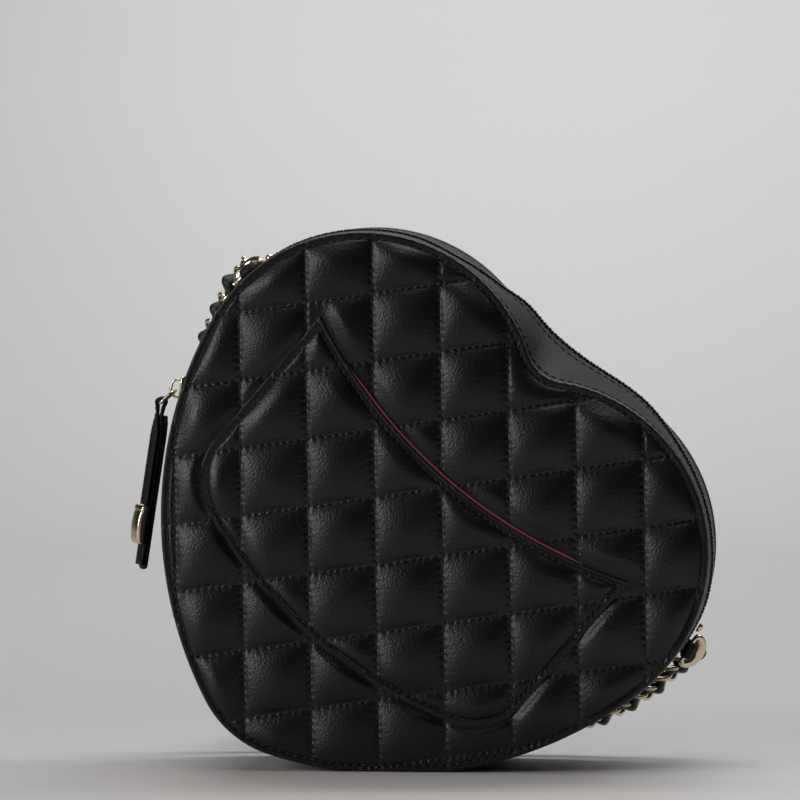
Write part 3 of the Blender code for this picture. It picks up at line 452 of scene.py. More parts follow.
def threadLook():
    look, shader, place = newLook("black_thread", (0.012, 0.012, 0.013))
    twist = place.dot((5200, 3100, 5200)).sine() * 0.5 + 0.5
    twist.bump(0.05 * mm, 0.8).feed(shader, "Normal")
    twist.ranged(0.5, 0.68).feed(shader, "Roughness")
    return look


lambskin = quiltedLeather()
bandLeather = smoothLeather("black_band_leather", 1.0, 0.5, shine=0.2)
edgeLeather = smoothLeather("glossy_edge_leather", 1.6, 0.3, (0.012, 0.012, 0.013))
laceLeather = smoothLeather("lace_leather", 1.5, 0.36)
thread = threadLook()
redCloth = wovenCloth("burgundy_lining", (0.17, 0.022, 0.037), (0.38, 0.052, 0.084), 0.62 * mm)
tapeCloth = wovenCloth("zip_tape_cloth", (0.010, 0.010, 0.011), (0.028, 0.028, 0.030), 0.8 * mm)
boardFelt = wovenCloth("board_felt", (0.20, 0.20, 0.19), (0.30, 0.30, 0.28), 1.4 * mm)
paleGold = plated("pale_gold", (0.80, 0.68, 0.50), 0.17)
darkTooth = plated("dark_zip_teeth", (0.05, 0.05, 0.053), 0.34)
print("materials made")


# the quilting's own two counts, whole on its stitch lines
def quiltCells(u, v):
    shifted = np.column_stack([u, v - quilt["up"]])
    return shifted @ firstWay, shifted @ secondWay


def quiltSpot(first, second):
    u = (first + second) * quilt["pitch"] / 2 / math.cos(quilt["angle"])
    v = (first - second) * quilt["pitch"] / 2 / math.sin(quilt["angle"]) + quilt["up"]
    return np.column_stack([u, v])


# pillows between the stitch lines and the edge seam, each a little unlike its neighbours
def puffShape(u, v, seed, edge):
    first, second = quiltCells(u, v)
    border = np.sin(rightAngle * np.clip(edge / (quilt["pitch"] * quilt["border"]), 0, 1))
    waves = np.abs(np.sin(math.pi * first)) * np.abs(np.sin(math.pi * second))
    cellFirst = np.floor(first)
    cellSecond = np.floor(second)
    uneven = np.sin(cellFirst * 12.9 + cellSecond * 78.2 + seed) * 0.06
    lean = (first - cellFirst - 0.5) * np.sin(cellFirst * 3.1 + cellSecond * 5.7 + seed) * 0.10
    wander = 0.12 * fieldNoise(u, v, 14 * mm, seed)
    return quilt["puff"] * (waves * border) ** quilt["power"] * (1 + uneven + lean + wander)


def crownShape(u, v, edge):
    reach = lobe[0] + heart["lobeRadius"]
    crown = quilt["crown"] * np.maximum(0, 1 - (u**2 + (v - lobe[1] / 2) ** 2) / reach**2)
    return crown * smoothStep((edge - quilt["seam"]) / quilt["rise"])


def edgeDrop(edge):
    return quilt["edgeRound"] * (1 - np.sqrt(1 - (1 - np.clip(edge / quilt["edgeRound"], 0, 1)) ** 2))


pocket = {
    "halfWidth": 70.5 * mm,
    "tipUp": 24.5 * mm,
    "mouthRadius": 180 * mm,
    "corner": 22 * mm,
    "baseUp": -62.7 * mm,
    "baseRadius": 168 * mm,
    "step": 0.8 * mm,
    "seam": 2.5 * mm,
    "lift": 1.75 * mm,
    "mouthLift": 0.75 * mm,
    "mouthReach": 9 * mm,
    "thick": 1.15 * mm,
    "pressed": 0.36,
    "pressedWidth": 2.6 * mm,
    "mouthPressed": (1.2 * mm, 6 * mm),
    "bindSeam": (1.35 * mm, 0.22 * mm),
    "rings": (0.05, 0.13, 0.24, 0.4, 0.8, 1.1, 1.25, 1.35, 1.45, 1.6, 2.1, 2.35, 2.5, 2.65, 2.95, 3.3),
    "gridClear": 3.5 * mm,
}
lining = {
    "points": 180,
    "show": 1.0 * mm,
    "back": 0.2 * mm,
    "from": 0.8 * mm,
    "nearer": 0.25,
    "section": (
        (-3.0, 1.75), (-1.0, 1.75), (0.7, 1.7), (1.0, 1.3), (1.0, 0.75), (0.7, 0.45), (-0.6, 1.1), (-3.0, 1.3),
    ),
}


def pocketSide():
    cornerU = pocket["halfWidth"] - pocket["corner"]
    centre = (0, pocket["baseUp"] + pocket["baseRadius"])
    cornerV = centre[1] - math.sqrt((pocket["baseRadius"] - pocket["corner"]) ** 2 - cornerU**2)
    bend = math.atan2(cornerV - centre[1], cornerU)
    right = joinLines(
        arcLine(centre, pocket["baseRadius"], -rightAngle, bend),
        arcLine((cornerU, cornerV), pocket["corner"], bend, 0),
        np.array([(pocket["halfWidth"], cornerV), (pocket["halfWidth"], pocket["tipUp"])]),
    )
    right = evenly(right, round(lineLength(right) / pocket["step"]))
    return mirrored((right * mirror)[::-1])


def pocketMouth():
    spread = math.asin(pocket["halfWidth"] / pocket["mouthRadius"])
    centre = (0, pocket["tipUp"] + pocket["mouthRadius"] * math.cos(spread))
    return arcLine(centre, pocket["mouthRadius"], -rightAngle + spread, -rightAngle - spread, pocket["step"])


sideLine = pocketSide()
mouthLine = pocketMouth()
pocketEdge = np.vstack([sideLine, mouthLine[1:-1]])
frontRim = seatedRim(heart["panelInset"])
outerRim = seatedRim(heart["panelInset"], heart["finePoints"])


# how far the quilted face stands over its seam
def panelHeight(u, v, isFront):
    points = np.column_stack([u, v])
    edge = distanceTo(points, outerRim)
    puff = puffShape(u, v, quilt["frontSeed"] if isFront else quilt["backSeed"], edge - quilt["seam"])
    if isFront:  # the pocket presses the face flat under it and beside it
        start, reach = pocket["mouthPressed"]
        free = smoothStep(distanceTo(points, sideLine) / pocket["pressedWidth"])
        free = free * smoothStep((distanceTo(points, mouthLine) - start) / reach)
        pressed = pocket["pressed"]
        puff = puff * np.where(within(points, pocketEdge), pressed, pressed + (1 - pressed) * free)
    rounded = quilt["band"] - edgeDrop(edge)
    first, second = quiltCells(u, v)
    across = np.minimum(np.abs(first - np.round(first)), np.abs(second - np.round(second))) * quilt["pitch"]
    grown = smoothStep((edge - quilt["seam"]) / quilt["rise"])
    notched = quilt["notchDeep"] * bell(across, quilt["grooveWide"]) * (1 - grown)
    groove = quilt["grooveDeep"] * bell(edge - quilt["seam"], quilt["grooveWide"])
    return rounded + puff + crownShape(u, v, edge) - groove - notched


# triangles over an outline: rings beside its edge, and the quilting's own grid inside them
def meshOutline(outline, rings, clear):
    points = [tuple(p) for p in outline]
    edges = []
    for ring in rings:
        first = len(points)
        points += [tuple(p) for p in ring]
        near = np.linalg.norm(np.roll(ring, -1, axis=0) - ring, axis=1) < 2 * mm
        edges += [(first + int(k), first + (int(k) + 1) % len(ring)) for k in np.flatnonzero(near)]
    reach = quilt["cells"] * quilt["grid"]
    steps = np.arange(-reach, reach + 1) / quilt["grid"]
    inner = quiltSpot(*[grid.ravel() for grid in np.meshgrid(steps, steps)])
    inner = inner[(np.abs(inner - outline.mean(0)) < np.ptp(outline, axis=0)).all(1)]
    inner = inner[within(inner, outline)]
    points += [tuple(p) for p in inner[distanceTo(inner, outline) > clear]]
    made = delaunay_2d_cdt([Vector(p) for p in points], edges, [list(range(len(outline)))], 1, 1e-8)
    return np.array([tuple(p) for p in made[0]]), [tuple(f) for f in made[2]]


def quiltedPanel(name, node, side):
    rings = [seatedRim(heart["panelInset"] + inset * mm) for inset in quilt["rings"]]
    spots, faces = meshOutline(frontRim, rings, quilt["gridClear"])
    height = panelHeight(spots[:, 0], spots[:, 1], side < 0)
    face = inRoom(spots[:, 0], side * (heart["seamDepth"] + height), spots[:, 1])
    back = inRoom(frontRim[:, 0], side * (heart["seamDepth"] - quilt["skirt"]), frontRim[:, 1])
    count = len(frontRim)
    total = len(face)
    faces += [(k, (k + 1) % count, total + (k + 1) % count, total + k) for k in range(count)]
    faces.append(tuple(total + k for k in range(count)))
    made = fixNormals(makeMesh(name, np.vstack([face, back]), faces, [lambskin]))
    standsFor(made, "leather", node)


quiltedPanel("quilted_front", "front_panel", -1)
quiltedPanel("quilted_back", "back_panel", 1)
print("panels made")


def inwardOf(line):
    ahead = unit(np.roll(line, -2, axis=0) - np.roll(line, 2, axis=0))
    return np.column_stack([-ahead[:, 1], ahead[:, 0]])


def pocketHeight(u, v):
    points = np.column_stack([u, v])
    mouth = distanceTo(points, mouthLine)
    edge = np.minimum(distanceTo(points, sideLine), mouth)
    puff = puffShape(u, v, quilt["frontSeed"], edge - pocket["seam"])
    lift = pocket["lift"] + pocket["mouthLift"] * np.exp(-mouth / pocket["mouthReach"])
    groove = quilt["grooveDeep"] * bell(edge - pocket["seam"], quilt["grooveWide"])
    groove = groove + pocket["bindSeam"][1] * bell(mouth - pocket["bindSeam"][0], pocket["bindSeam"][1])
    return lift + crownShape(u, v, distanceTo(points, outerRim)) + puff - groove - edgeDrop(edge)


def pocketFront():
    whole = evenly(np.vstack([pocketEdge, pocketEdge[:1]]), len(pocketEdge))[:-1]
    inward = inwardOf(whole)
    rings = []
    for inset in pocket["rings"]:
        ring = whole + inward * inset * mm
        keep = within(ring, pocketEdge) & (distanceTo(ring, pocketEdge) > inset * mm * 0.86)
        rings.append(ring[keep])
    spots, faces = meshOutline(pocketEdge, rings, pocket["gridClear"])
    height = pocketHeight(spots[:, 0], spots[:, 1])
    points = inRoom(spots[:, 0], -heart["seamDepth"] - height, spots[:, 1])
    made = fixNormals(makeMesh("front_pocket", points, faces, [lambskin]))
    if made.data.polygons[0].normal.y > 0:
        made.data.flip_normals()
    thick = made.modifiers.new("thick", "SOLIDIFY")
    thick.thickness = pocket["thick"]
    thick.offset = -1
    standsFor(made, "leather", "pocket_panel")


# the red lining peeps out between the pocket's ends
def pocketLining():
    mouth = evenly(mouthLine, lining["points"])
    shares = np.linspace(0, 1, len(mouth))
    show = lining["show"] * smoothStep((shares - 0.1) / 0.06) * smoothStep((0.9 - shares) / 0.12)
    flat = pocketHeight(mouth[:, 0], mouth[:, 1] - lining["from"])
    rows = []
    for out, drop in lining["section"]:
        v = mouth[:, 1] + (show * out - lining["back"] if out > 0 else out * mm)
        rows.append(inRoom(mouth[:, 0], -heart["seamDepth"] - flat + (drop - lining["nearer"]) * mm, v))
    made = skinned("pocket_lining_edge", np.stack(rows, 1), redCloth)
    standsFor(made, "lining", "pocket_lining")


pocketFront()
pocketLining()
print("pocket made")

stitch = {
    "fine": (quilt["stitch"], 1.95 * mm, 0.21 * mm),  # pitch, length and thickness
    "band": (3.0 * mm, 2.2 * mm, 0.21 * mm),
    "edge": (3.0 * mm, 2.3 * mm, 0.26 * mm, 0.22 * mm),
    "pocketEdge": (2.8 * mm, 2.15 * mm, 0.26 * mm, 0.2 * mm),
    "shares": np.array([0, 0.18, 0.5, 0.82, 1.0]),
    "lifts": np.array([-0.22, 0.06, 0.14, 0.06, -0.22]) * mm,
    "thins": np.array([0.75, 1, 1, 1, 0.75]),
    "sides": 6,
    "shortest": 14,
    "rimClear": 3.4 * mm,
    "pocketClear": 0.6 * mm,
    "insideClear": 3.2 * mm,
    "edgePoints": 900,
    "bandDepths": ((7.25 * mm, 0.22 * mm), (23.2 * mm, -0.05 * mm)),
}


# capsules of thread along a line of places and normals, their ends pulled into the leather
def stitchRow(line, pitch, long, radius, raised=0.0):
    places, normals = line
    along = distances(places)
    count = int(along[-1] / pitch)
    parts = []
    for k in range(count):
        start = (along[-1] - count * pitch) / 2 + k * pitch + (pitch - long) / 2
        wanted = start + stitch["shares"] * long
        normal = placesOn(normals, along, wanted)
        middle = placesOn(places, along, wanted) + normal * (stitch["lifts"] + raised)[:, None]
        parts.append(wireTube(middle, stitch["thins"] * radius, stitch["sides"], first=normal[0]))
    return parts


def surfaceLine(line, side, heights):
    height = heights(line[:, 0], line[:, 1])
    places = inRoom(line[:, 0], side * (heart["seamDepth"] + height), line[:, 1])
    return places, np.tile([0.0, side, 0.0], (len(line), 1))


# the stretches of a line where keep holds
def runsInside(line, keep):
    runs = []
    run = []
    for point, good in zip(line, keep):
        if good:
            run.append(point)
        elif run:
            runs.append(np.array(run))
            run = []
    if run:
        runs.append(np.array(run))
    return [run for run in runs if len(run) > stitch["shortest"]]


def quiltLines():
    steps = np.linspace(-quilt["cells"], quilt["cells"], 900)
    for k in range(1 - quilt["cells"], quilt["cells"]):
        whole = np.full_like(steps, k)
        yield quiltSpot(whole, steps)
        yield quiltSpot(steps, whole)


def stitchPiece(name, parts, body="bag"):
    points, faces = joinMeshes(parts)
    makeMesh(name, points, faces, [thread], body)


def panelStitches(name, side):
    def heights(u, v):
        return panelHeight(u, v, side < 0)

    parts = []
    for line in quiltLines():
        keep = within(line, outerRim) & (distanceTo(line, outerRim) > stitch["rimClear"])
        if side < 0:
            keep &= ~(within(line, pocketEdge) | (distanceTo(line, pocketEdge) < stitch["pocketClear"]))
        for run in runsInside(line, keep):
            parts += stitchRow(surfaceLine(run, side, heights), *stitch["fine"])
    edge = seatedRim(heart["panelInset"] + quilt["seam"], stitch["edgePoints"])
    edge = np.vstack([edge, edge[:1]])
    parts += stitchRow(surfaceLine(edge, side, heights), *stitch["edge"])
    stitchPiece(name, parts)


def pocketStitches():
    parts = []
    for line in quiltLines():
        keep = within(line, pocketEdge) & (distanceTo(line, pocketEdge) > stitch["insideClear"])
        for run in runsInside(line, keep):
            parts += stitchRow(surfaceLine(run, -1, pocketHeight), *stitch["fine"])
    ring = pocketEdge + inwardOf(pocketEdge) * pocket["seam"]
    keep = within(ring, pocketEdge) & (distanceTo(ring, pocketEdge) > pocket["seam"] * 0.93)
    for run in runsInside(ring, keep):
        line = surfaceLine(evenly(run, 4 * len(run)), -1, pocketHeight)
        parts += stitchRow(line, *stitch["pocketEdge"])
    stitchPiece("pocket_stitches", parts)


panelStitches("front_stitches", -1)
panelStitches("back_stitches", 1)
pocketStitches()
print("stitches made")

trim = {
    "pipe": 1.1 * mm,
    "pipeDepth": 27.5 * mm,
    "pipePoints": 480,
    "gussetInset": 0.4 * mm,
    "gussetPoints": 260,
    "stripEdge": 25 * mm,
    "closing": 0.3 * mm,
    "strip": (
        (25.2, 1.4), (25.3, 0.7), (25.1, 0.25), (24.6, 0.05), (22, -0.08), (17, -0.12), (12, -0.08), (8.6, 0.05),
        (7.7, 0.15), (7.25, 0.3), (6.8, 0.15), (6.2, 0.05), (5.65, 0.08), (5.3, 0.3), (5.15, 0.7), (5.3, 1.2),
        (5.7, 1.4), (15, 1.3),
    ),
    "tape": (
        (13, 1.8), (5.5, 1.8), (4.2, 1.35), (2.9, 0.95), (2.35, 0.95), (2.3, 1.25), (2.35, 1.6), (3.1, 1.65),
        (4.2, 2.05), (5.5, 2.5), (13, 2.5),
    ),
    "gusset": (
        (25.0, 0.75), (25.1, 0.3), (24.8, 0.06), (24, 0), (12, 0), (0, 0), (-12, 0), (-24, 0), (-24.8, 0.06),
        (-25.1, 0.3), (-25.0, 0.75), (-24, 1.6), (24, 1.6),
    ),
}


def pipingPiece(name, node, side):
    line = seatedRim(trim["pipe"], trim["pipePoints"])
    middle = inRoom(line[:, 0], side * (trim["pipeDepth"] - trim["pipe"]), line[:, 1])
    points, faces = wireTube(middle, trim["pipe"] * 1.02, 12, closed=True)
    made = fixNormals(makeMesh(name, points, faces, [edgeLeather]))
    standsFor(made, "edge_leather", node)


pipingPiece("front_pipe", "front_piping", -1)
pipingPiece("back_pipe", "back_piping", 1)

zipLine = {
    "centre": (37 * mm, 6 * mm),
    "radius": 64.8 * mm,
    "bridgeRadius": 425 * mm,
    "end": math.radians(-37.5),
    "edgeEnd": math.radians(-25),
    "lip": 5.2 * mm,
    "pitch": 2.66 * mm,
    "overLobe": 76,
    "toNotch": 40,
    "rise": (0.8 * mm, 42 * mm, 30 * mm),
    "waves": ((30 * mm, 17 * mm, 2.5 * mm), (-20 * mm, 9 * mm, 1.6 * mm), (-50 * mm, 10 * mm, -0.9 * mm)),
    "dipFrom": (30, 32),
    "dipTo": (-37.5, 14),
    "dip": (1.4 * mm, 2.3 * mm),
    "endRoom": 7 * mm,
}
zipCentre = zipLine["centre"]
bridgeReach = zipLine["radius"] + zipLine["bridgeRadius"]
bridge = (0, zipCentre[1] + math.sqrt(bridgeReach**2 - zipCentre[0] ** 2))
bridgeStart = math.atan2(bridge[1] - zipCentre[1], -zipCentre[0])


def overLobe(centre, radius, start, middleStart, middle, middleRadius, before=None):
    up = arcLine(centre, radius, start, rightAngle)
    if before is not None:
        up = joinLines(before, up)
    across = joinLines(
        arcLine(centre, radius, rightAngle, middleStart),
        arcLine(middle, middleRadius, middleStart - math.pi, -rightAngle),
    )
    return mirrored(np.vstack([evenly(up, zipLine["overLobe"]), evenly(across, zipLine["toNotch"])[1:]]))


def zippedLine(drop):
    radii = zipLine["radius"] - drop, zipLine["bridgeRadius"] + drop
    return overLobe(zipCentre, radii[0], zipLine["end"], bridgeStart, bridge, radii[1])


def edgedLine(inset):
    before = arcLine(flank, heart["flankRadius"] - inset, zipLine["edgeEnd"], heart["flankStart"])
    radii = heart["lobeRadius"] - inset, heart["notchRadius"] + inset
    return overLobe(lobe, radii[0], heart["flankStart"], notchStart, notch, radii[1], before)


# the photograph's zip stands higher between the lobes and lower at the bag's sides
def proud(line):
    u, v = line.T
    high, outer, fade = zipLine["rise"]
    rise = high * smoothStep((outer - np.abs(u)) / fade)
    for middle, width, high in zipLine["waves"]:
        rise = rise + high * bell(u - middle, width)
    angle = np.degrees(np.arctan2(v - zipCentre[1], np.abs(u) - zipCentre[0]))
    (top, topFade), (low, lowFade) = zipLine["dipFrom"], zipLine["dipTo"]
    dip = smoothStep((top - angle) / topFade) * smoothStep((angle - low) / lowFade)
    dip = dip * np.where(u > 0, zipLine["dip"][1], zipLine["dip"][0])
    return line + np.column_stack([-np.sign(u) * dip, rise])


# a line on the bag's top, at a depth from the zip and a drop below the surface
def topLine(depth, drop):
    share = min(1, max(0, (abs(depth) - zipLine["lip"]) / (trim["stripEdge"] - zipLine["lip"])))
    line = proud(zippedLine(drop)) * (1 - share) + edgedLine(trim["gussetInset"] + drop) * share
    return inRoom(line[:, 0], depth, line[:, 1])


def topSheet(name, node, shape, side, look, slot):
    points = np.stack([topLine(side * depth * mm, drop * mm) for depth, drop in shape], 1)
    for end, following in ((0, 1), (-1, -2)):  # the last rows close up, so the ends stay crisp
        points[end] += unit(points[following] - points[end]) * trim["closing"]
    standsFor(skinned(name, points, look), slot, node)


for side, name in ((-1, "front"), (1, "back")):
    topSheet("strip_" + name, "zip_strip_" + name, trim["strip"], side, bandLeather, "leather")
    topSheet("tape_" + name, "zip_tape_" + name, trim["tape"], side, tapeCloth, "tape")


def baseLine(inset):
    right = joinLines(
        arcLine(tip, heart["tipRadius"] - inset, -rightAngle, tipEnd),
        arcLine(flank, heart["flankRadius"] - inset, tipEnd, zipLine["edgeEnd"]),
    )
    return evenly(mirrored(right[::-1]), trim["gussetPoints"])


def gussetBand():
    rows = []
    for depth, drop in trim["gusset"]:
        line = seated(baseLine(trim["gussetInset"] + drop * mm), drop * mm)
        rows.append(inRoom(line[:, 0], depth * mm, line[:, 1]))
    standsFor(skinned("base_band", np.stack(rows, 1), bandLeather), "leather", "base_gusset")


gussetBand()


# normals of a top line, away from the heart's middle
def outwardAt(line):
    ahead = unit(np.gradient(line, axis=0))
    out = np.cross(np.tile([0.0, 1.0, 0.0], (len(line), 1)), ahead)
    flip = np.sign(((line - line.mean(0)) * out).sum(1))
    return out * np.where(np.median(flip) < 0, -1, 1)


def bandStitches():
    parts = []
    for side in (-1, 1):
        for depth, drop in stitch["bandDepths"]:
            line = topLine(side * depth, drop)
            parts += stitchRow((line, outwardAt(line)), *stitch["band"])
    stitchPiece("band_stitches", parts)


bandStitches()
print("gusset made")

tooth = {
    "sections": (
        (2.1, 0.55, 0.1), (1.5, 0.62, 0.0), (0.5, 0.48, 0.0),
        (-0.25, 0.62, 0.0), (-0.7, 0.6, 0.08), (-0.92, 0.42, 0.3),
    ),
    "outline": (
        (-1, 0.25), (-0.75, 0.03), (0, -0.05), (0.75, 0.03), (1, 0.25),
        (1, 1.75), (0.6, 2.1), (-0.6, 2.1), (-1, 1.75),
    ),
    "high": 0.53,
    "cord": 0.55 * mm,
    "cordDrop": 0.85 * mm,
    "cordDepth": 1.9 * mm,
    "cordPoints": 220,
    "near": 0.3 * mm,
    "sharp": math.radians(50),
}
zipMiddle = proud(mirrored(joinLines(
    arcLine(zipCentre, zipLine["radius"], zipLine["end"], bridgeStart, 0.2 * mm),
    arcLine(bridge, zipLine["bridgeRadius"], bridgeStart - math.pi, -rightAngle, 0.2 * mm),
)))
zipAlong = distances(zipMiddle)


def zipSpot(place, drop, depth):
    wanted = np.array([place - tooth["near"], place, place + tooth["near"]])
    behind, here, ahead = placesOn(zipMiddle, zipAlong, wanted)
    across, along = unit(ahead - behind)
    return inRoom(here[0] - along * drop, depth, here[1] + across * drop)


# moulded teeth on a cord, each with a neck and a wider head past the middle
def toothRow(name, node, side, shift):
    pitch = zipLine["pitch"]
    length = zipAlong[-1]
    count = int((length - zipLine["endRoom"]) / pitch)
    start = (length - (count - 1) * pitch) / 2 + shift
    faces = tubeFaces(len(tooth["sections"]), len(tooth["outline"]))
    parts = []
    for k in range(count):
        points = []
        for depth, half, pinch in tooth["sections"]:
            for along, drop in tooth["outline"]:
                low = (drop * (1 - pinch) + pinch - tooth["high"]) * mm
                points.append(zipSpot(start + k * pitch + along * half * mm, low, side * depth * mm))
        parts.append((points, faces))
    places = np.linspace(start - pitch, start + count * pitch, tooth["cordPoints"])
    cord = [zipSpot(place, tooth["cordDrop"], side * tooth["cordDepth"]) for place in places]
    parts.append(wireTube(np.array(cord), tooth["cord"], 8))
    made = fixNormals(makeMesh(name, *joinMeshes(parts), [darkTooth]))
    made.data.set_sharp_from_angle(angle=tooth["sharp"])
    standsFor(made, "teeth", node)


toothRow("teeth_front", "zip_teeth_front", -1, 0)
toothRow("teeth_back", "zip_teeth_back", 1, zipLine["pitch"] / 2)
print("teeth made")

slider = {
    "at": math.radians(212.8),
    "long": 9 * mm,
    "front": 7.6 * mm,
    "back": 5.4 * mm,
    "top": 0.65 * mm,
    "plate": 1.0 * mm,
    "low": -3.3 * mm,
    "shares": (-0.5, -0.49, -0.46, -0.40, -0.2, 0.0, 0.2, 0.40, 0.46, 0.49, 0.5),
    "section": (
        (-0.93, 0), (0.93, 0), (1, 0.22), (1, 0.75), (0.9, 1), (0.4, 1.08), (-0.4, 1.08), (-0.9, 1), (-1, 0.75),
        (-1, 0.22),
    ),
    "sharp": math.radians(55),
    "bridgeLong": 7 * mm,
    "bridgeHigh": 3.4 * mm,
    "bridgeWide": 2.2 * mm,
    "bridgeThick": 0.9 * mm,
    "bridgeSides": 12,
    "ring": 3.1 * mm,
    "ringHalfWide": 4.8 * mm,
    "ringWire": 0.6 * mm,
    "ringCorner": 1.4 * mm,
    "ringPoints": 72,
    "play": 0.3 * mm,
}


# a plate with soft edges, bent to the zip's circle
def sliderPlate(name, node, low, high):
    rows = []
    for share in slider["shares"]:
        pinch = math.sqrt(max(0.0, 1 - (2 * abs(share)) ** 10))
        width = (slider["front"] + (slider["back"] - slider["front"]) * (share + 0.5)) * (0.55 + 0.45 * pinch) / 2
        angle = slider["at"] + share * slider["long"] / zipLine["radius"]
        section = []
        for wide, above in slider["section"]:
            radius = zipLine["radius"] + low + (high - low) * (above if high > 0 else 1 - above)
            u = -zipCentre[0] + radius * math.cos(angle)
            section.append(inRoom(u, wide * width, zipCentre[1] + radius * math.sin(angle)))
        rows.append(section)
    made = skinned(name, rows, paleGold, "slider")
    made.data.set_sharp_from_angle(angle=slider["sharp"])
    standsFor(made, "gold", node)


sliderPlate("slider_top", "slider_body", slider["top"], slider["top"] + slider["plate"])
sliderPlate("slider_under", "slider_lower_plate", slider["low"] - slider["plate"], slider["low"])
sliderOut = np.array([math.cos(slider["at"]), math.sin(slider["at"])])
sliderDown = np.array([-math.sin(slider["at"]), math.cos(slider["at"])])
sliderMiddle = np.array([-zipCentre[0], zipCentre[1]]) + sliderOut * zipLine["radius"]
bridgeBase = slider["top"] + slider["plate"] + slider["play"]


# a power below 1 makes a round outline squarer
def squarer(value, power):
    return math.copysign(abs(value) ** power, value)


def sliderBridge():
    middleLong = slider["bridgeLong"] / 2 - slider["bridgeThick"] / 2
    middleHigh = slider["bridgeHigh"] - slider["bridgeThick"] / 2
    rows = []
    for angle in np.linspace(0, math.pi, 25):
        long = -squarer(math.cos(angle), 0.75) * middleLong
        high = bridgeBase + abs(math.sin(angle)) ** 0.75 * middleHigh
        half = slider["bridgeWide"] / 2 * (1 + 0.35 * abs(math.cos(angle)) ** 3)
        section = []
        for around in np.arange(slider["bridgeSides"]) * turn / slider["bridgeSides"]:
            wide = squarer(math.cos(around), 0.6) * half
            thick = squarer(math.sin(around), 0.8) * slider["bridgeThick"] / 2
            spot = sliderMiddle + sliderDown * (long - math.cos(angle) * thick)
            spot = spot + sliderOut * (high + math.sin(angle) * thick)
            section.append(inRoom(spot[0], wide, spot[1]))
        rows.append(section)
    standsFor(skinned("pull_bridge", rows, paleGold, "slider"), "gold", "slider_bridge")


sliderBridge()

pull = {
    "leaf": 1.2 * mm,
    "half": 2.6 * mm,
    "twist": math.radians(32),
    "twistEnd": 12 * mm,
    "foldEnd": 3.5 * mm,
    "closer": 0.75 * mm,
    "outer": 36.4 * mm,
    "inner": 57.6 * mm,
    "foldStart": 1.5 * mm,
    "tailStart": 4.5 * mm,
    "tailEnd": 1.5 * mm,
    "ringAngle": math.radians(-139) + heart["lean"],
    "angle": math.radians(-98.5) + heart["lean"],
    "section": (
        (-0.9, -1), (0.9, -1), (0.985, -0.7), (1, 0), (0.985, 0.7), (0.9, 1), (-0.9, 1), (-0.985, 0.7), (-1, 0),
        (-0.985, -0.7),
    ),
    "stitch": (2.3 * mm, 1.7 * mm, 0.17 * mm),
}
cap = {
    "long": 13.5 * mm,
    "wall": 1.1 * mm,
    "bulge": 1.2 * mm,
    "side": 0.7 * mm,
    "rim": 0.28 * mm,
    "sides": 28,
    "shares": (0, 0.02, 0.07, 0.1, 0.13, 0.2, 0.35, 0.5, 0.65, 0.8, 0.9, 0.96, 1.0),
    "sharp": math.radians(40),
}
overRing = slider["ringWire"] + slider["play"]
leafMiddle = overRing + pull["leaf"] / 2
tailMiddle = -(overRing + pull["leaf"] + slider["play"] + pull["leaf"] / 2)
hold = sliderMiddle + sliderOut * (bridgeBase + slider["bridgeHigh"] - slider["bridgeThick"] - overRing)
hold = hold + sliderDown * (slider["bridgeLong"] / 2 - slider["bridgeThick"] * 2 - slider["ringWire"])
swung = np.array([math.cos(pull["ringAngle"]), math.sin(pull["ringAngle"])])
hang = np.array([math.cos(pull["angle"]), math.sin(pull["angle"])])
pullLow = hold + swung * slider["ring"] * 2
pullSide = np.array([-hang[1], hang[0]])
if pullSide @ sliderOut < 0:
    pullSide = -pullSide


def wireRing():
    corner = slider["ringCorner"]
    corners = []
    for quarter, (a, b) in enumerate(((1, 1), (-1, 1), (-1, -1), (1, -1))):
        centre = (a * (slider["ring"] - corner), b * (slider["ringHalfWide"] - corner))
        corners.append(arcLine(centre, corner, quarter * rightAngle, (quarter + 1) * rightAngle, 0.25 * mm))
    line = evenly(np.vstack(corners + [corners[0][:1]]), slider["ringPoints"])[:-1]
    spots = hold + swung * slider["ring"] + swung * line[:, :1]
    first = inRoom(-swung[1], 0, swung[0]) - inRoom(0, 0, 0)
    room = inRoom(spots[:, 0], line[:, 1], spots[:, 1])
    points, faces = wireTube(room, slider["ringWire"] * 0.92, 12, closed=True, first=first)
    made = fixNormals(makeMesh("wire_ring", points, faces, [paleGold], "ring"))
    standsFor(made, "gold", "pull_ring")


wireRing()


# a place on the pull, whose leaves close up and turn towards the pocket side below the fold
def pullSpot(side, depth, long):
    below = float(smoothStep((long + 0.5 * mm) / pull["foldEnd"]))
    angle = float(smoothStep(long / pull["twistEnd"])) * pull["twist"]
    side = side - math.copysign(min(abs(side), pull["closer"]), side) * below
    spot = pullLow + pullSide * (side * math.cos(angle) + depth * math.sin(angle)) + hang * long
    return inRoom(spot[0], depth * math.cos(angle) - side * math.sin(angle), spot[1])


# a strip's section with rounded edges, where bend points away from the fold's centre
def leafSection(side, long, bend, half=pull["half"]):
    section = []
    for wide, deep in pull["section"]:
        off = pull["leaf"] / 2 * deep
        section.append(pullSpot(side + bend[0] * off, wide * half, long + bend[1] * off))
    return section


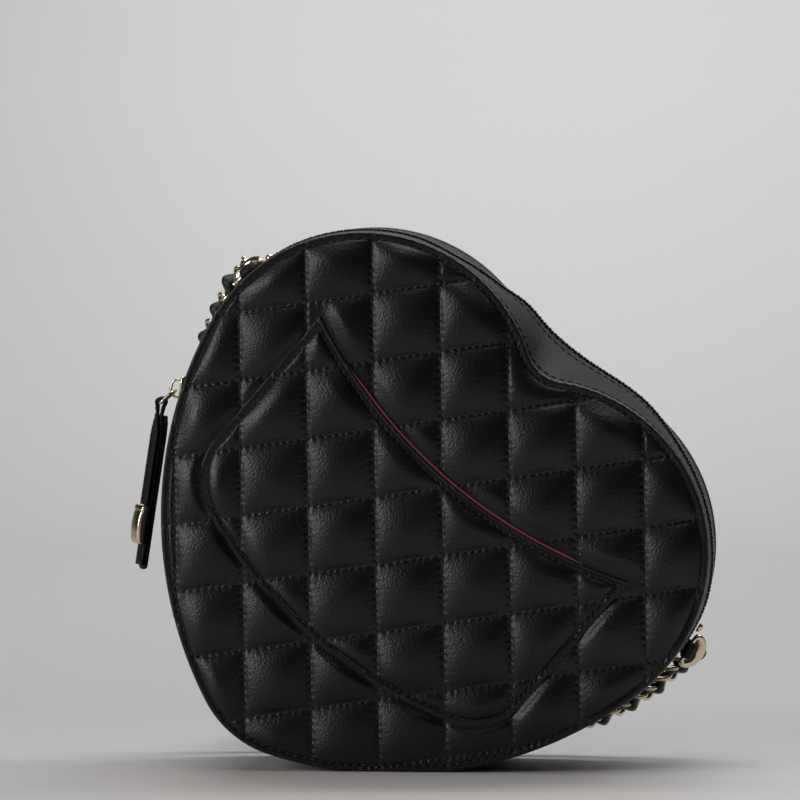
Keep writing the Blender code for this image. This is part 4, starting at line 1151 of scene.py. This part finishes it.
def pullLeather():
    rows = [leafSection(leafMiddle, long, (1, 0)) for long in np.linspace(pull["outer"], pull["foldStart"], 18)]
    for angle in np.linspace(0, math.pi, 15):
        bend = (math.cos(angle), -math.sin(angle))
        rows.append(leafSection(bend[0] * leafMiddle, bend[1] * leafMiddle, bend))
    rows += [leafSection(-leafMiddle, long, (-1, 0)) for long in np.linspace(pull["foldStart"], pull["inner"], 24)]
    standsFor(skinned("pull_leather", rows, bandLeather, "pull"), "leather", "pull_strap")
    rounding = pull["inner"] + np.array([0.5, 0.9, 1.2, 1.4, 1.5]) * mm
    rows = []
    for long in np.concatenate([np.linspace(pull["tailStart"], pull["inner"], 26), rounding]):
        over = max(0, long - pull["inner"]) / pull["tailEnd"]
        half = pull["half"] * math.sqrt(max(0.02, 1 - over**2))
        rows.append(leafSection(tailMiddle, long, (-1, 0), half))
    standsFor(skinned("pull_back_leaf", rows, bandLeather, "pull"), "leather", "pull_tail")


def pullStitches():
    front = leafMiddle + pull["leaf"] / 2, 1 * mm, pull["outer"] - 0.5 * mm, 1
    back = tailMiddle - pull["leaf"] / 2, 6 * mm, pull["inner"] - 1 * mm, -1
    parts = []
    for edge in (-1, 1):
        for side, start, end, out in (front, back):
            places = [pullSpot(side, edge * (pull["half"] - 1 * mm), long) for long in np.linspace(start, end, 120)]
            normal = pullSpot(out, 0, 0) - pullSpot(0, 0, 0)
            parts += stitchRow((np.array(places), np.tile(normal, (len(places), 1))), *pull["stitch"])
    stitchPiece("pull_stitches", parts, "pull")


# the metal end: a bulged shell with a raised rim at its mouth
def pullCap():
    outer = overRing + pull["leaf"] + cap["wall"]
    middle = (outer + overRing) / 2
    rows = []
    for share in cap["shares"]:
        bulge = cap["bulge"] * math.sin(math.pi * min(1, share * 0.92 + 0.04))
        rim = cap["rim"] if share < 0.11 else 0
        close = 1 - 0.18 * max(0, (share - 0.9) / 0.1) ** 2 - (0.05 if share in (0, 1.0) else 0)
        long = pull["outer"] + slider["play"] + cap["long"] * share
        section = []
        for around in np.arange(cap["sides"]) * turn / cap["sides"]:
            wide = squarer(math.cos(around), 0.45) * (pull["half"] + cap["side"] + rim) * close
            deep = squarer(math.sin(around), 0.5)
            reach = (outer + bulge + rim - middle) * close if deep > 0 else (outer - overRing) / 2
            section.append(pullSpot(middle + deep * reach, wide, long))
        rows.append(section)
    made = skinned("pull_cap", rows, paleGold, "pull")
    made.data.set_sharp_from_angle(angle=cap["sharp"])
    standsFor(made, "gold", "pull_end_cap")


pullLeather()
pullStitches()
pullCap()
print("zip pull made")

fitting = {
    "angle": math.radians(8.7),
    "depth": 12.5 * mm,
    "halfWidth": 2.94 * mm,
    "reach": 6 * mm,
    "thick": 1.2 * mm,
    "wire": 0.95 * mm,
    "halfBar": 5.4 * mm,
    "bow": 6.6 * mm,
    "bowSteps": 32,
    "tilt": math.radians(70),
    "shownTilt": (math.radians(64), math.radians(55)),  # left and right, as the photograph shows them
    "bowFull": (0.9, 1.6),
    "stud": 1.7 * mm,
    "studSides": 20,
    "gap": 0.3 * mm,
    "tabSection": (
        (-0.92, 0), (0.92, 0), (1, 0.25), (1, 0.75), (0.92, 1), (-0.92, 1), (-1, 0.75), (-1, 0.25),
    ),
    "studShape": (
        (1.0, 0), (1.04, 0.2), (1.0, 0.38), (0.97, 0.5), (0.88, 0.9), (0.7, 1.25), (0.45, 1.5), (0.18, 1.62),
    ),
}


# how far the top stands from the lobe's centre, in a direction
def topHeight(side, depth, out, up):
    share = (depth - zipLine["lip"]) / (trim["stripEdge"] - zipLine["lip"])
    line = zippedLine(0) * (1 - share) + edgedLine(trim["gussetInset"]) * share
    spots = line - [side * zipCentre[0], zipCentre[1]]
    toward = spots @ [out.x, out.z]
    past = spots @ [up.x, up.z]
    near = toward > 0
    order = np.argsort(past[near])
    return float(np.interp(0, past[near][order], toward[near][order]))


def fittingFrame(side):
    out = Vector((side * math.cos(fitting["angle"]), 0, math.sin(fitting["angle"])))
    up = Vector((-side * math.sin(fitting["angle"]), 0, math.cos(fitting["angle"])))
    near = topHeight(side, fitting["depth"] - fitting["reach"], out, up)
    far = topHeight(side, fitting["depth"] + fitting["reach"], out, up)
    ground = (Vector((0, fitting["reach"] * 2, 0)) + out * (far - near)).normalized()
    lift = (out - ground * out.dot(ground)).normalized()
    foot = Vector((side * zipCentre[0], 0, zipCentre[1])) + out * topHeight(side, fitting["depth"], out, up)
    return foot + Vector((0, fitting["depth"], 0)), up, ground, lift


def heartToRoom(points):
    points = np.array([tuple(p) for p in points])
    return inRoom(points[:, 0], points[:, 1], points[:, 2])


def ringTab(name, foot, up, ground, lift):
    gap = fitting["gap"]
    thick = fitting["thick"]
    reach = fitting["reach"]
    inner = fitting["wire"] + gap
    centre = inner + gap
    ends = [((a, gap), (a, gap + thick)) for a in (-reach, -reach * 0.75)]
    for angle in np.linspace(math.pi, 0, 17):  # over the ring's bar
        low = (math.cos(angle) * inner, max(centre + math.sin(angle) * inner, gap))
        high = math.sin(angle) * (inner + thick)
        ends.append((low, (math.cos(angle) * (inner + thick), max(centre + high, gap + thick))))
    ends += [((a, gap), (a, gap + thick)) for a in (reach * 0.75, reach)]
    rows = []
    for (a0, b0), (a1, b1) in ends:
        section = []
        for wide, deep in fitting["tabSection"]:
            spot = ground * (a0 + (a1 - a0) * deep) + lift * (b0 + (b1 - b0) * deep)
            section.append(foot + spot + up * wide * fitting["halfWidth"])
        rows.append(heartToRoom(section))
    standsFor(skinned("ring_tab_" + name, rows, bandLeather), "leather", "strap_tab_" + name)


def bowRing(name, right, bar, up, ground, lift):
    wire = fitting["wire"]
    steps = fitting["bowSteps"]
    line = []
    wires = []
    for share in np.linspace(0, 1, steps + 1):
        high = math.sin(math.pi * share)
        line.append((math.cos(math.pi * share) * fitting["halfBar"], wire + high * (fitting["bow"] - wire)))
        wires.append(wire * (1.1 + fitting["bowFull"][right] * high))
    for share in np.linspace(-1, 1, 11):
        line.append((share * (fitting["halfBar"] - wire), 0))
        wires.append(wire * 0.85)
    tilt = fitting["shownTilt"][right]
    shown = ground * math.sin(tilt) + lift * math.cos(tilt)
    spots = heartToRoom([bar + up * a + shown * b for a, b in line])
    sideWay = heartToRoom([up.cross(shown)])[0] - heartToRoom([Vector((0, 0, 0))])[0]
    points, faces = wireTube(spots, wires, 14, closed=True, first=sideWay)
    made = fixNormals(makeMesh("bow_ring_" + name, points, faces, [paleGold], name + "_d_ring"))
    standsFor(made, "gold", "d_ring_" + name)


def ringStud(name, foot, up, ground, lift):
    along = fitting["halfBar"] + fitting["wire"] + fitting["stud"] + fitting["gap"] * 2
    middle = foot + up * along + lift * fitting["gap"]
    angles = np.arange(fitting["studSides"]) * turn / fitting["studSides"]
    rows = []
    for radius, high in fitting["studShape"]:
        ways = [(up * math.cos(a) + ground * math.sin(a)) * radius * fitting["stud"] for a in angles]
        rows.append(heartToRoom([middle + lift * high * mm + way for way in ways]))
    standsFor(skinned("ring_stud_" + name, rows, paleGold), "gold", "tab_stud_" + name)


# the fittings of one side; returns where the strap ends and the way it leaves
def strapFitting(side, name):
    foot, up, ground, lift = fittingFrame(side)
    bar = foot + lift * (fitting["wire"] + fitting["gap"] * 2)
    ringTab(name, foot, up, ground, lift)
    bowRing(name, side > 0, bar, up, ground, lift)
    ringStud(name, foot, up, ground, lift)
    bow = ground * math.sin(fitting["tilt"]) + lift * math.cos(fitting["tilt"])
    end = bar + bow * (fitting["bow"] + fitting["wire"])
    end, ahead = heartToRoom([end, end + bow])
    return Vector(end), Vector(ahead - end).normalized()


leftEnd, leftWay = strapFitting(-1, "left")
rightEnd, rightWay = strapFitting(1, "right")
print("fittings made")

strap = {
    "width": 8.5 * mm,
    "spacing": 9.9 * mm,
    "radius": 42.5 * mm,
    "middleX": -12 * mm,
    "nearY": 40 * mm,
    "turns": 3,
    "coilPoints": 2000,
    "stepUp": (0.74, 0.98),
    "lying": (70 * mm, 60 * mm),
    "step": 0.5 * mm,
    "link": 5.6 * mm,
    "linkHalfLong": 3.6 * mm,
    "linkHalfWide": 3.3 * mm,
    "linkTwist": 1.5 * mm,
    "linkPoints": 24,
    "wire": 0.85 * mm,
    "firstLump": 19 * mm,
    "leftWays": (-0.9, -0.38, 0.2),
    "rightWays": (0.6, -0.32, -0.73),
    "tight": (-1.2 * mm, 0, 1.5 * mm),
    "tightFrom": (4 * mm, 12 * mm),
    "tightTo": (110 * mm, 30 * mm),
    "endLump": (0.3, 4 * mm),
    "endThin": (0.5, 6 * mm),
    "leftLoop": (1.1, 17.5 * mm, 4 * mm),
    "leftBare": (1.8, 6 * mm, 6 * mm),
    "thinnest": -1.2,
    "laceSwing": 1.5 * mm,
    "laceHalfWide": 2.6 * mm,
    "laceHalfThick": 1.8 * mm,
    "laceSides": 12,
    "left": (
        (-58, 30.5, 172.5), (-64, 34, 164), (-71.5, 38.5, 149), (-73.8, 39.5, 136), (-75, 39.5, 105),
        (-75.5, 39.5, 70), (-75, 39.5, 42), (-72.3, 40, 26), (-66.5, 40.6, 17.5), (-57, 40.9, 11),
        (-45, 40.6, 6.5), (-33, 40.2, 4.6),
    ),
    "right": (
        (13, 38.9, 30), (24, 38.2, 22), (35, 37.8, 14.5), (45, 37.5, 10.6), (55, 37.2, 9.7), (65.5, 35.5, 11.2),
        (75.8, 34.6, 15.7), (85.8, 34.2, 21.5), (92.3, 33.8, 26.6), (98.2, 33.3, 32.2), (102.6, 30.5, 37),
    ),
}


# a place on the coil, whose turns lie on each other
def coilPoint(turns):
    whole = math.floor(turns)
    low, high = strap["stepUp"]
    above = whole + float(smoothStep((turns - whole - low) / (high - low)))
    angle = turns * turn - rightAngle
    x = strap["middleX"] + strap["radius"] * math.cos(angle)
    y = strap["nearY"] + strap["radius"] + strap["radius"] * math.sin(angle)
    return x, y, strap["width"] / 2 + strap["spacing"] * above


def smoothRoute(points):
    points = [Vector(point) for point in points]
    points = [points[0] * 2 - points[1]] + points + [points[-1] * 2 - points[-2]]
    fine = []
    for a, b, c, d in zip(points, points[1:], points[2:], points[3:]):
        for t in np.linspace(0, 1, 16, endpoint=False):
            bend = (a * 2 - b * 5 + c * 4 - d) * t**2 + (b * 3 - a - c * 3 + d) * t**3
            fine.append(tuple((b * 2 + (c - a) * t + bend) / 2))
    return np.array(fine)


# the strap's line, and how much it stands on its edge at each place, as it does in the coil
def strapRoute():
    coil = np.array([coilPoint(turns) for turns in np.linspace(0, strap["turns"], strap["coilPoints"])])
    beside = Vector((strap["width"], 0, 0))
    left = [leftEnd, leftEnd + leftWay * strap["width"] / 2] + [Vector(p) * mm for p in strap["left"]]
    right = [Vector(coil[-1]) + beside] + [Vector(p) * mm for p in strap["right"]]
    fall = smoothRoute(left + [Vector(coil[0]) - beside])
    rise = smoothRoute(right + [rightEnd + rightWay * strap["width"] / 2, rightEnd])
    rise = np.vstack([rise, [tuple(rightEnd)]])
    line = np.vstack([fall, coil, rise])
    line[:, 2] = np.maximum(line[:, 2], strap["width"] / 2)
    length = lineLength(line)
    even = evenly(line, round(length / strap["step"]))
    places = np.linspace(0, length, len(even))
    before, fade = strap["lying"]
    start = smoothStep((places - lineLength(fall) + before) / fade)
    end = smoothStep((length - lineLength(rise) + before - places) / fade)
    return even, places, (start * end)[:, None]


# gold links and a black lace, the lace swinging from side to side through them
def wovenStrap():
    route, places, lying = strapRoute()
    length = float(places[-1])
    ahead = unit(np.gradient(route, axis=0))
    hanging = np.where((places < length / 2)[:, None], [strap["leftWays"]], [strap["rightWays"]])
    standing = np.column_stack([ahead[:, 1], -ahead[:, 0], np.zeros(len(route))])
    normal = hanging * (1 - lying) + standing * lying
    normal = unit(normal - ahead * (normal * ahead).sum(1)[:, None])
    across = np.cross(normal, ahead)
    toEnd = length - places
    (near, nearFade), (far, farFade) = strap["tightFrom"], strap["tightTo"]
    tight = smoothStep((toEnd - near) / nearFade) * smoothStep((far - toEnd) / farFade)
    route = route + tight[:, None] * np.array([strap["tight"]])
    first = strap["firstLump"]
    laced = length - 2 * first
    pitch = laced / 2 / round(laced / 2 / strap["link"])
    spare = int(first / pitch - 1)
    angles = (np.arange(strap["linkPoints"]) * turn / strap["linkPoints"])[:, None]
    links = []
    for k in range(-spare, round(laced / pitch) + spare):
        n = int(round((first + (k + 0.5) * pitch) / length * (len(route) - 1)))
        ring = route[n] + np.cos(angles) * ahead[n] * strap["linkHalfLong"]
        ring = ring + np.sin(angles) * across[n] * strap["linkHalfWide"]
        ring = ring + np.sin(2 * angles) * normal[n] * strap["linkTwist"]
        links.append(wireTube(ring, strap["wire"], 8, closed=True, first=normal[n]))
    steps = np.arange(0, len(route), 2)
    place = places[steps]
    phase = (place - first) / pitch * math.pi
    fromEnd = np.minimum(place, length - place)
    lump = np.abs(np.cos(phase)) + strap["endLump"][0] * bell(fromEnd - first, strap["endLump"][1])
    lump = lump - strap["endThin"][0] * bell(fromEnd, strap["endThin"][1])
    more, middle, width = strap["leftLoop"]
    lump = lump + more * bell(place - middle, width)
    less, middle, width = strap["leftBare"]
    lump = np.maximum(lump - less * bell(place - middle, width), strap["thinnest"])[:, None, None]
    lace = route[steps] + normal[steps] * (np.cos(phase) * strap["laceSwing"])[:, None]
    around = (np.arange(strap["laceSides"]) * turn / strap["laceSides"])[None, :, None]
    wide = strap["laceHalfWide"] * (0.85 + 0.3 * lump) * np.cos(around) * across[steps][:, None, :]
    thick = strap["laceHalfThick"] * (0.8 + 0.45 * lump) * np.sin(around) * normal[steps][:, None, :]
    points = (lace[:, None, :] + wide + thick).reshape(-1, 3)
    black = (points, tubeFaces(len(steps), strap["laceSides"]))
    gold = joinMeshes(links)
    points, faces = joinMeshes([gold, black])
    made = fixNormals(makeMesh("woven_strap", points, faces, [paleGold, laceLeather]))
    for polygon in made.data.polygons:
        polygon.material_index = 0 if polygon.index < len(gold[1]) else 1
    standsFor(made, "chain", "strap_fall_left", "strap_coil", "strap_rise_right")
    [tuple(p) for p in route[::6]] + [tuple(route[-1])]
    print("strap", round(length, 3), "m,", len(links), "links")


wovenStrap()

# hidden layers keep their solids and get a finish
hiddenLooks = {
    "front_board": boardFelt,
    "back_board": boardFelt,
    "front_lining": redCloth,
    "back_lining": redCloth,
    "base_gusset_lining": redCloth,
    "slip_pocket": redCloth,
    "zip_stop_left": paleGold,
    "zip_stop_right": paleGold,
}
for node, look in hiddenLooks.items():
    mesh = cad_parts[node].data
    mesh.materials.clear()
    mesh.materials.append(look)

sweep = {
    "halfWide": 4.0,
    "front": -3.5,
    "bendStart": 1.2,
    "bendRadius": 1.3,
    "wallTops": (2.2, 4.0),
    "paintedShadeColours": ((0.357, 0.362, 0.374), (0.612, 0.61, 0.602)),
    "paintedWarmLight": (0.75, 0.66, 0.63),
}


# a pale sweep: floor, a wide bend and a wall, shaded as the photograph's background is
def sweepFloor():
    start = sweep["bendStart"]
    radius = sweep["bendRadius"]
    outline = [(sweep["front"], 0.0)] + [(y, 0.0) for y in np.linspace(-1.5, start, 8)]
    for angle in np.linspace(0.08, rightAngle, 22):
        outline.append((start + radius * math.sin(angle), radius - radius * math.cos(angle)))
    outline += [(start + radius, z) for z in sweep["wallTops"]]
    points = [(x, y, z) for y, z in outline for x in (-sweep["halfWide"], sweep["halfWide"])]
    faces = [(2 * k, 2 * k + 1, 2 * k + 3, 2 * k + 2) for k in range(len(outline) - 1)]
    look, shader, place = newLook("pale_sweep", (0.5, 0.505, 0.52), Roughness=0.6)
    place.cloud(2.0, 2.0).ranged(0.5, 0.62).feed(shader, "Roughness")
    # painted shade: the sweep's colour is made lighter up the wall and on the front floor, most on its right, and
    # darker towards both sides, in place of how the lamps light it
    depth = place.dot((0, 1, 0))
    wall = ((depth - 1.05) * 1.15).clamped()
    near = ((depth - 0.2) * -4).clamped()
    side = (place.dot((1, 0, 0)) + 0.12) * 4
    right = place.dot((1, 0, 0)).clamped()
    front = ((depth - 0.7) * -1.6).clamped()
    shade = wall * 0.15 + near * (right * 0.5 + 0.065) + front * right * 0.55 + 0.42
    shade = shade * (1.08 - side * side * 0.09)
    paintedShadeColour = ((shade - 0.36) * 4).clamped().blend(*sweep["paintedShadeColours"])
    # painted light: a lighter, warm-tinted patch on the floor just in front of the bag lightens its contact shadow
    # and tints that shade warm
    across = place.dot((9, 0, 0))
    along = place.dot((0, 11, 0)) + 0.7
    paintedWarmLight = ((across * across + along * along) * -1).exponent() * 0.6
    paintedWarmLight.blend(paintedShadeColour, sweep["paintedWarmLight"]).feed(shader, "Base Color")
    # a camera behind the wall looks through it, so the bag's back can be seen
    facing = place.node("ShaderNodeNewGeometry", out="Backfacing")
    behind = facing * place.node("ShaderNodeLightPath", out="Is Camera Ray")
    solid = Wire(place.tree, shader.outputs["BSDF"])
    clear = place.node("ShaderNodeBsdfTransparent")
    both = place.node("ShaderNodeMixShader", i0=behind, i1=solid, i2=clear)
    both.feed(place.tree.nodes["Material Output"], "Surface")
    makeMesh("pale_sweep_floor", points, faces, [look], None)


studio = {  # place, aim, size and watts of each light
    "left_box": ((-1.4, -0.95, 0.62), (0, 0, 0.1), (0.55, 0.95), 14.5),
    "top_box": ((0.1, -0.1, 1.5), (0, 0, 0.1), (1.1, 0.7), 5.5),
    "right_back": ((1.1, 0.8, 1.3), (0, 0, 0.1), (0.8, 0.8), 5),
    "sweep_light": ((0.2, 0.9, 2.2), (0.1, 2.4, 0.2), (3.0, 0.8), 53),
}
room = {"colour": (0.95, 0.97, 1.0, 1), "strength": 0.02}
camera = {
    "yaw": math.radians(5.2),
    "pitch": math.radians(2.9),
    "distance": 2.6,
    "aim": (2.73 * mm, -27 * mm, 129.3 * mm),
    "sensor": 36,
    "wide": 0.3464 * mm * 800,
}


def addToScene(name, data, place, toward):
    made = bpy.data.objects.new(name, data)
    bpy.context.scene.collection.objects.link(made)
    made.location = place
    made.rotation_euler = toward.to_track_quat("-Z", "Y").to_euler()
    return made


def studioLights():
    for name, (place, aim, size, watts) in studio.items():
        data = bpy.data.lights.new(name, "AREA")
        data.shape = "RECTANGLE"
        data.size, data.size_y = size
        data.energy = watts
        addToScene(name, data, place, Vector(aim) - Vector(place))
    world = bpy.data.worlds.new("soft_room")
    bpy.context.scene.world = world
    world.use_nodes = True
    back = world.node_tree.nodes["Background"]
    back.inputs["Color"].default_value = room["colour"]
    back.inputs["Strength"].default_value = room["strength"]


def photoCamera():
    flat = math.cos(camera["pitch"])
    toward = Vector((-math.sin(camera["yaw"]) * flat, math.cos(camera["yaw"]) * flat, -math.sin(camera["pitch"])))
    data = bpy.data.cameras.new("photo_camera")
    data.sensor_width = camera["sensor"]
    data.lens = camera["distance"] / camera["wide"] * camera["sensor"]
    place = Vector(camera["aim"]) - toward * camera["distance"]
    bpy.context.scene.camera = addToScene("photo_camera", data, place, toward)


sweepFloor()
studioLights()
photoCamera()
bpy.context.scene.view_settings.view_transform = "Standard"
print("studio made")
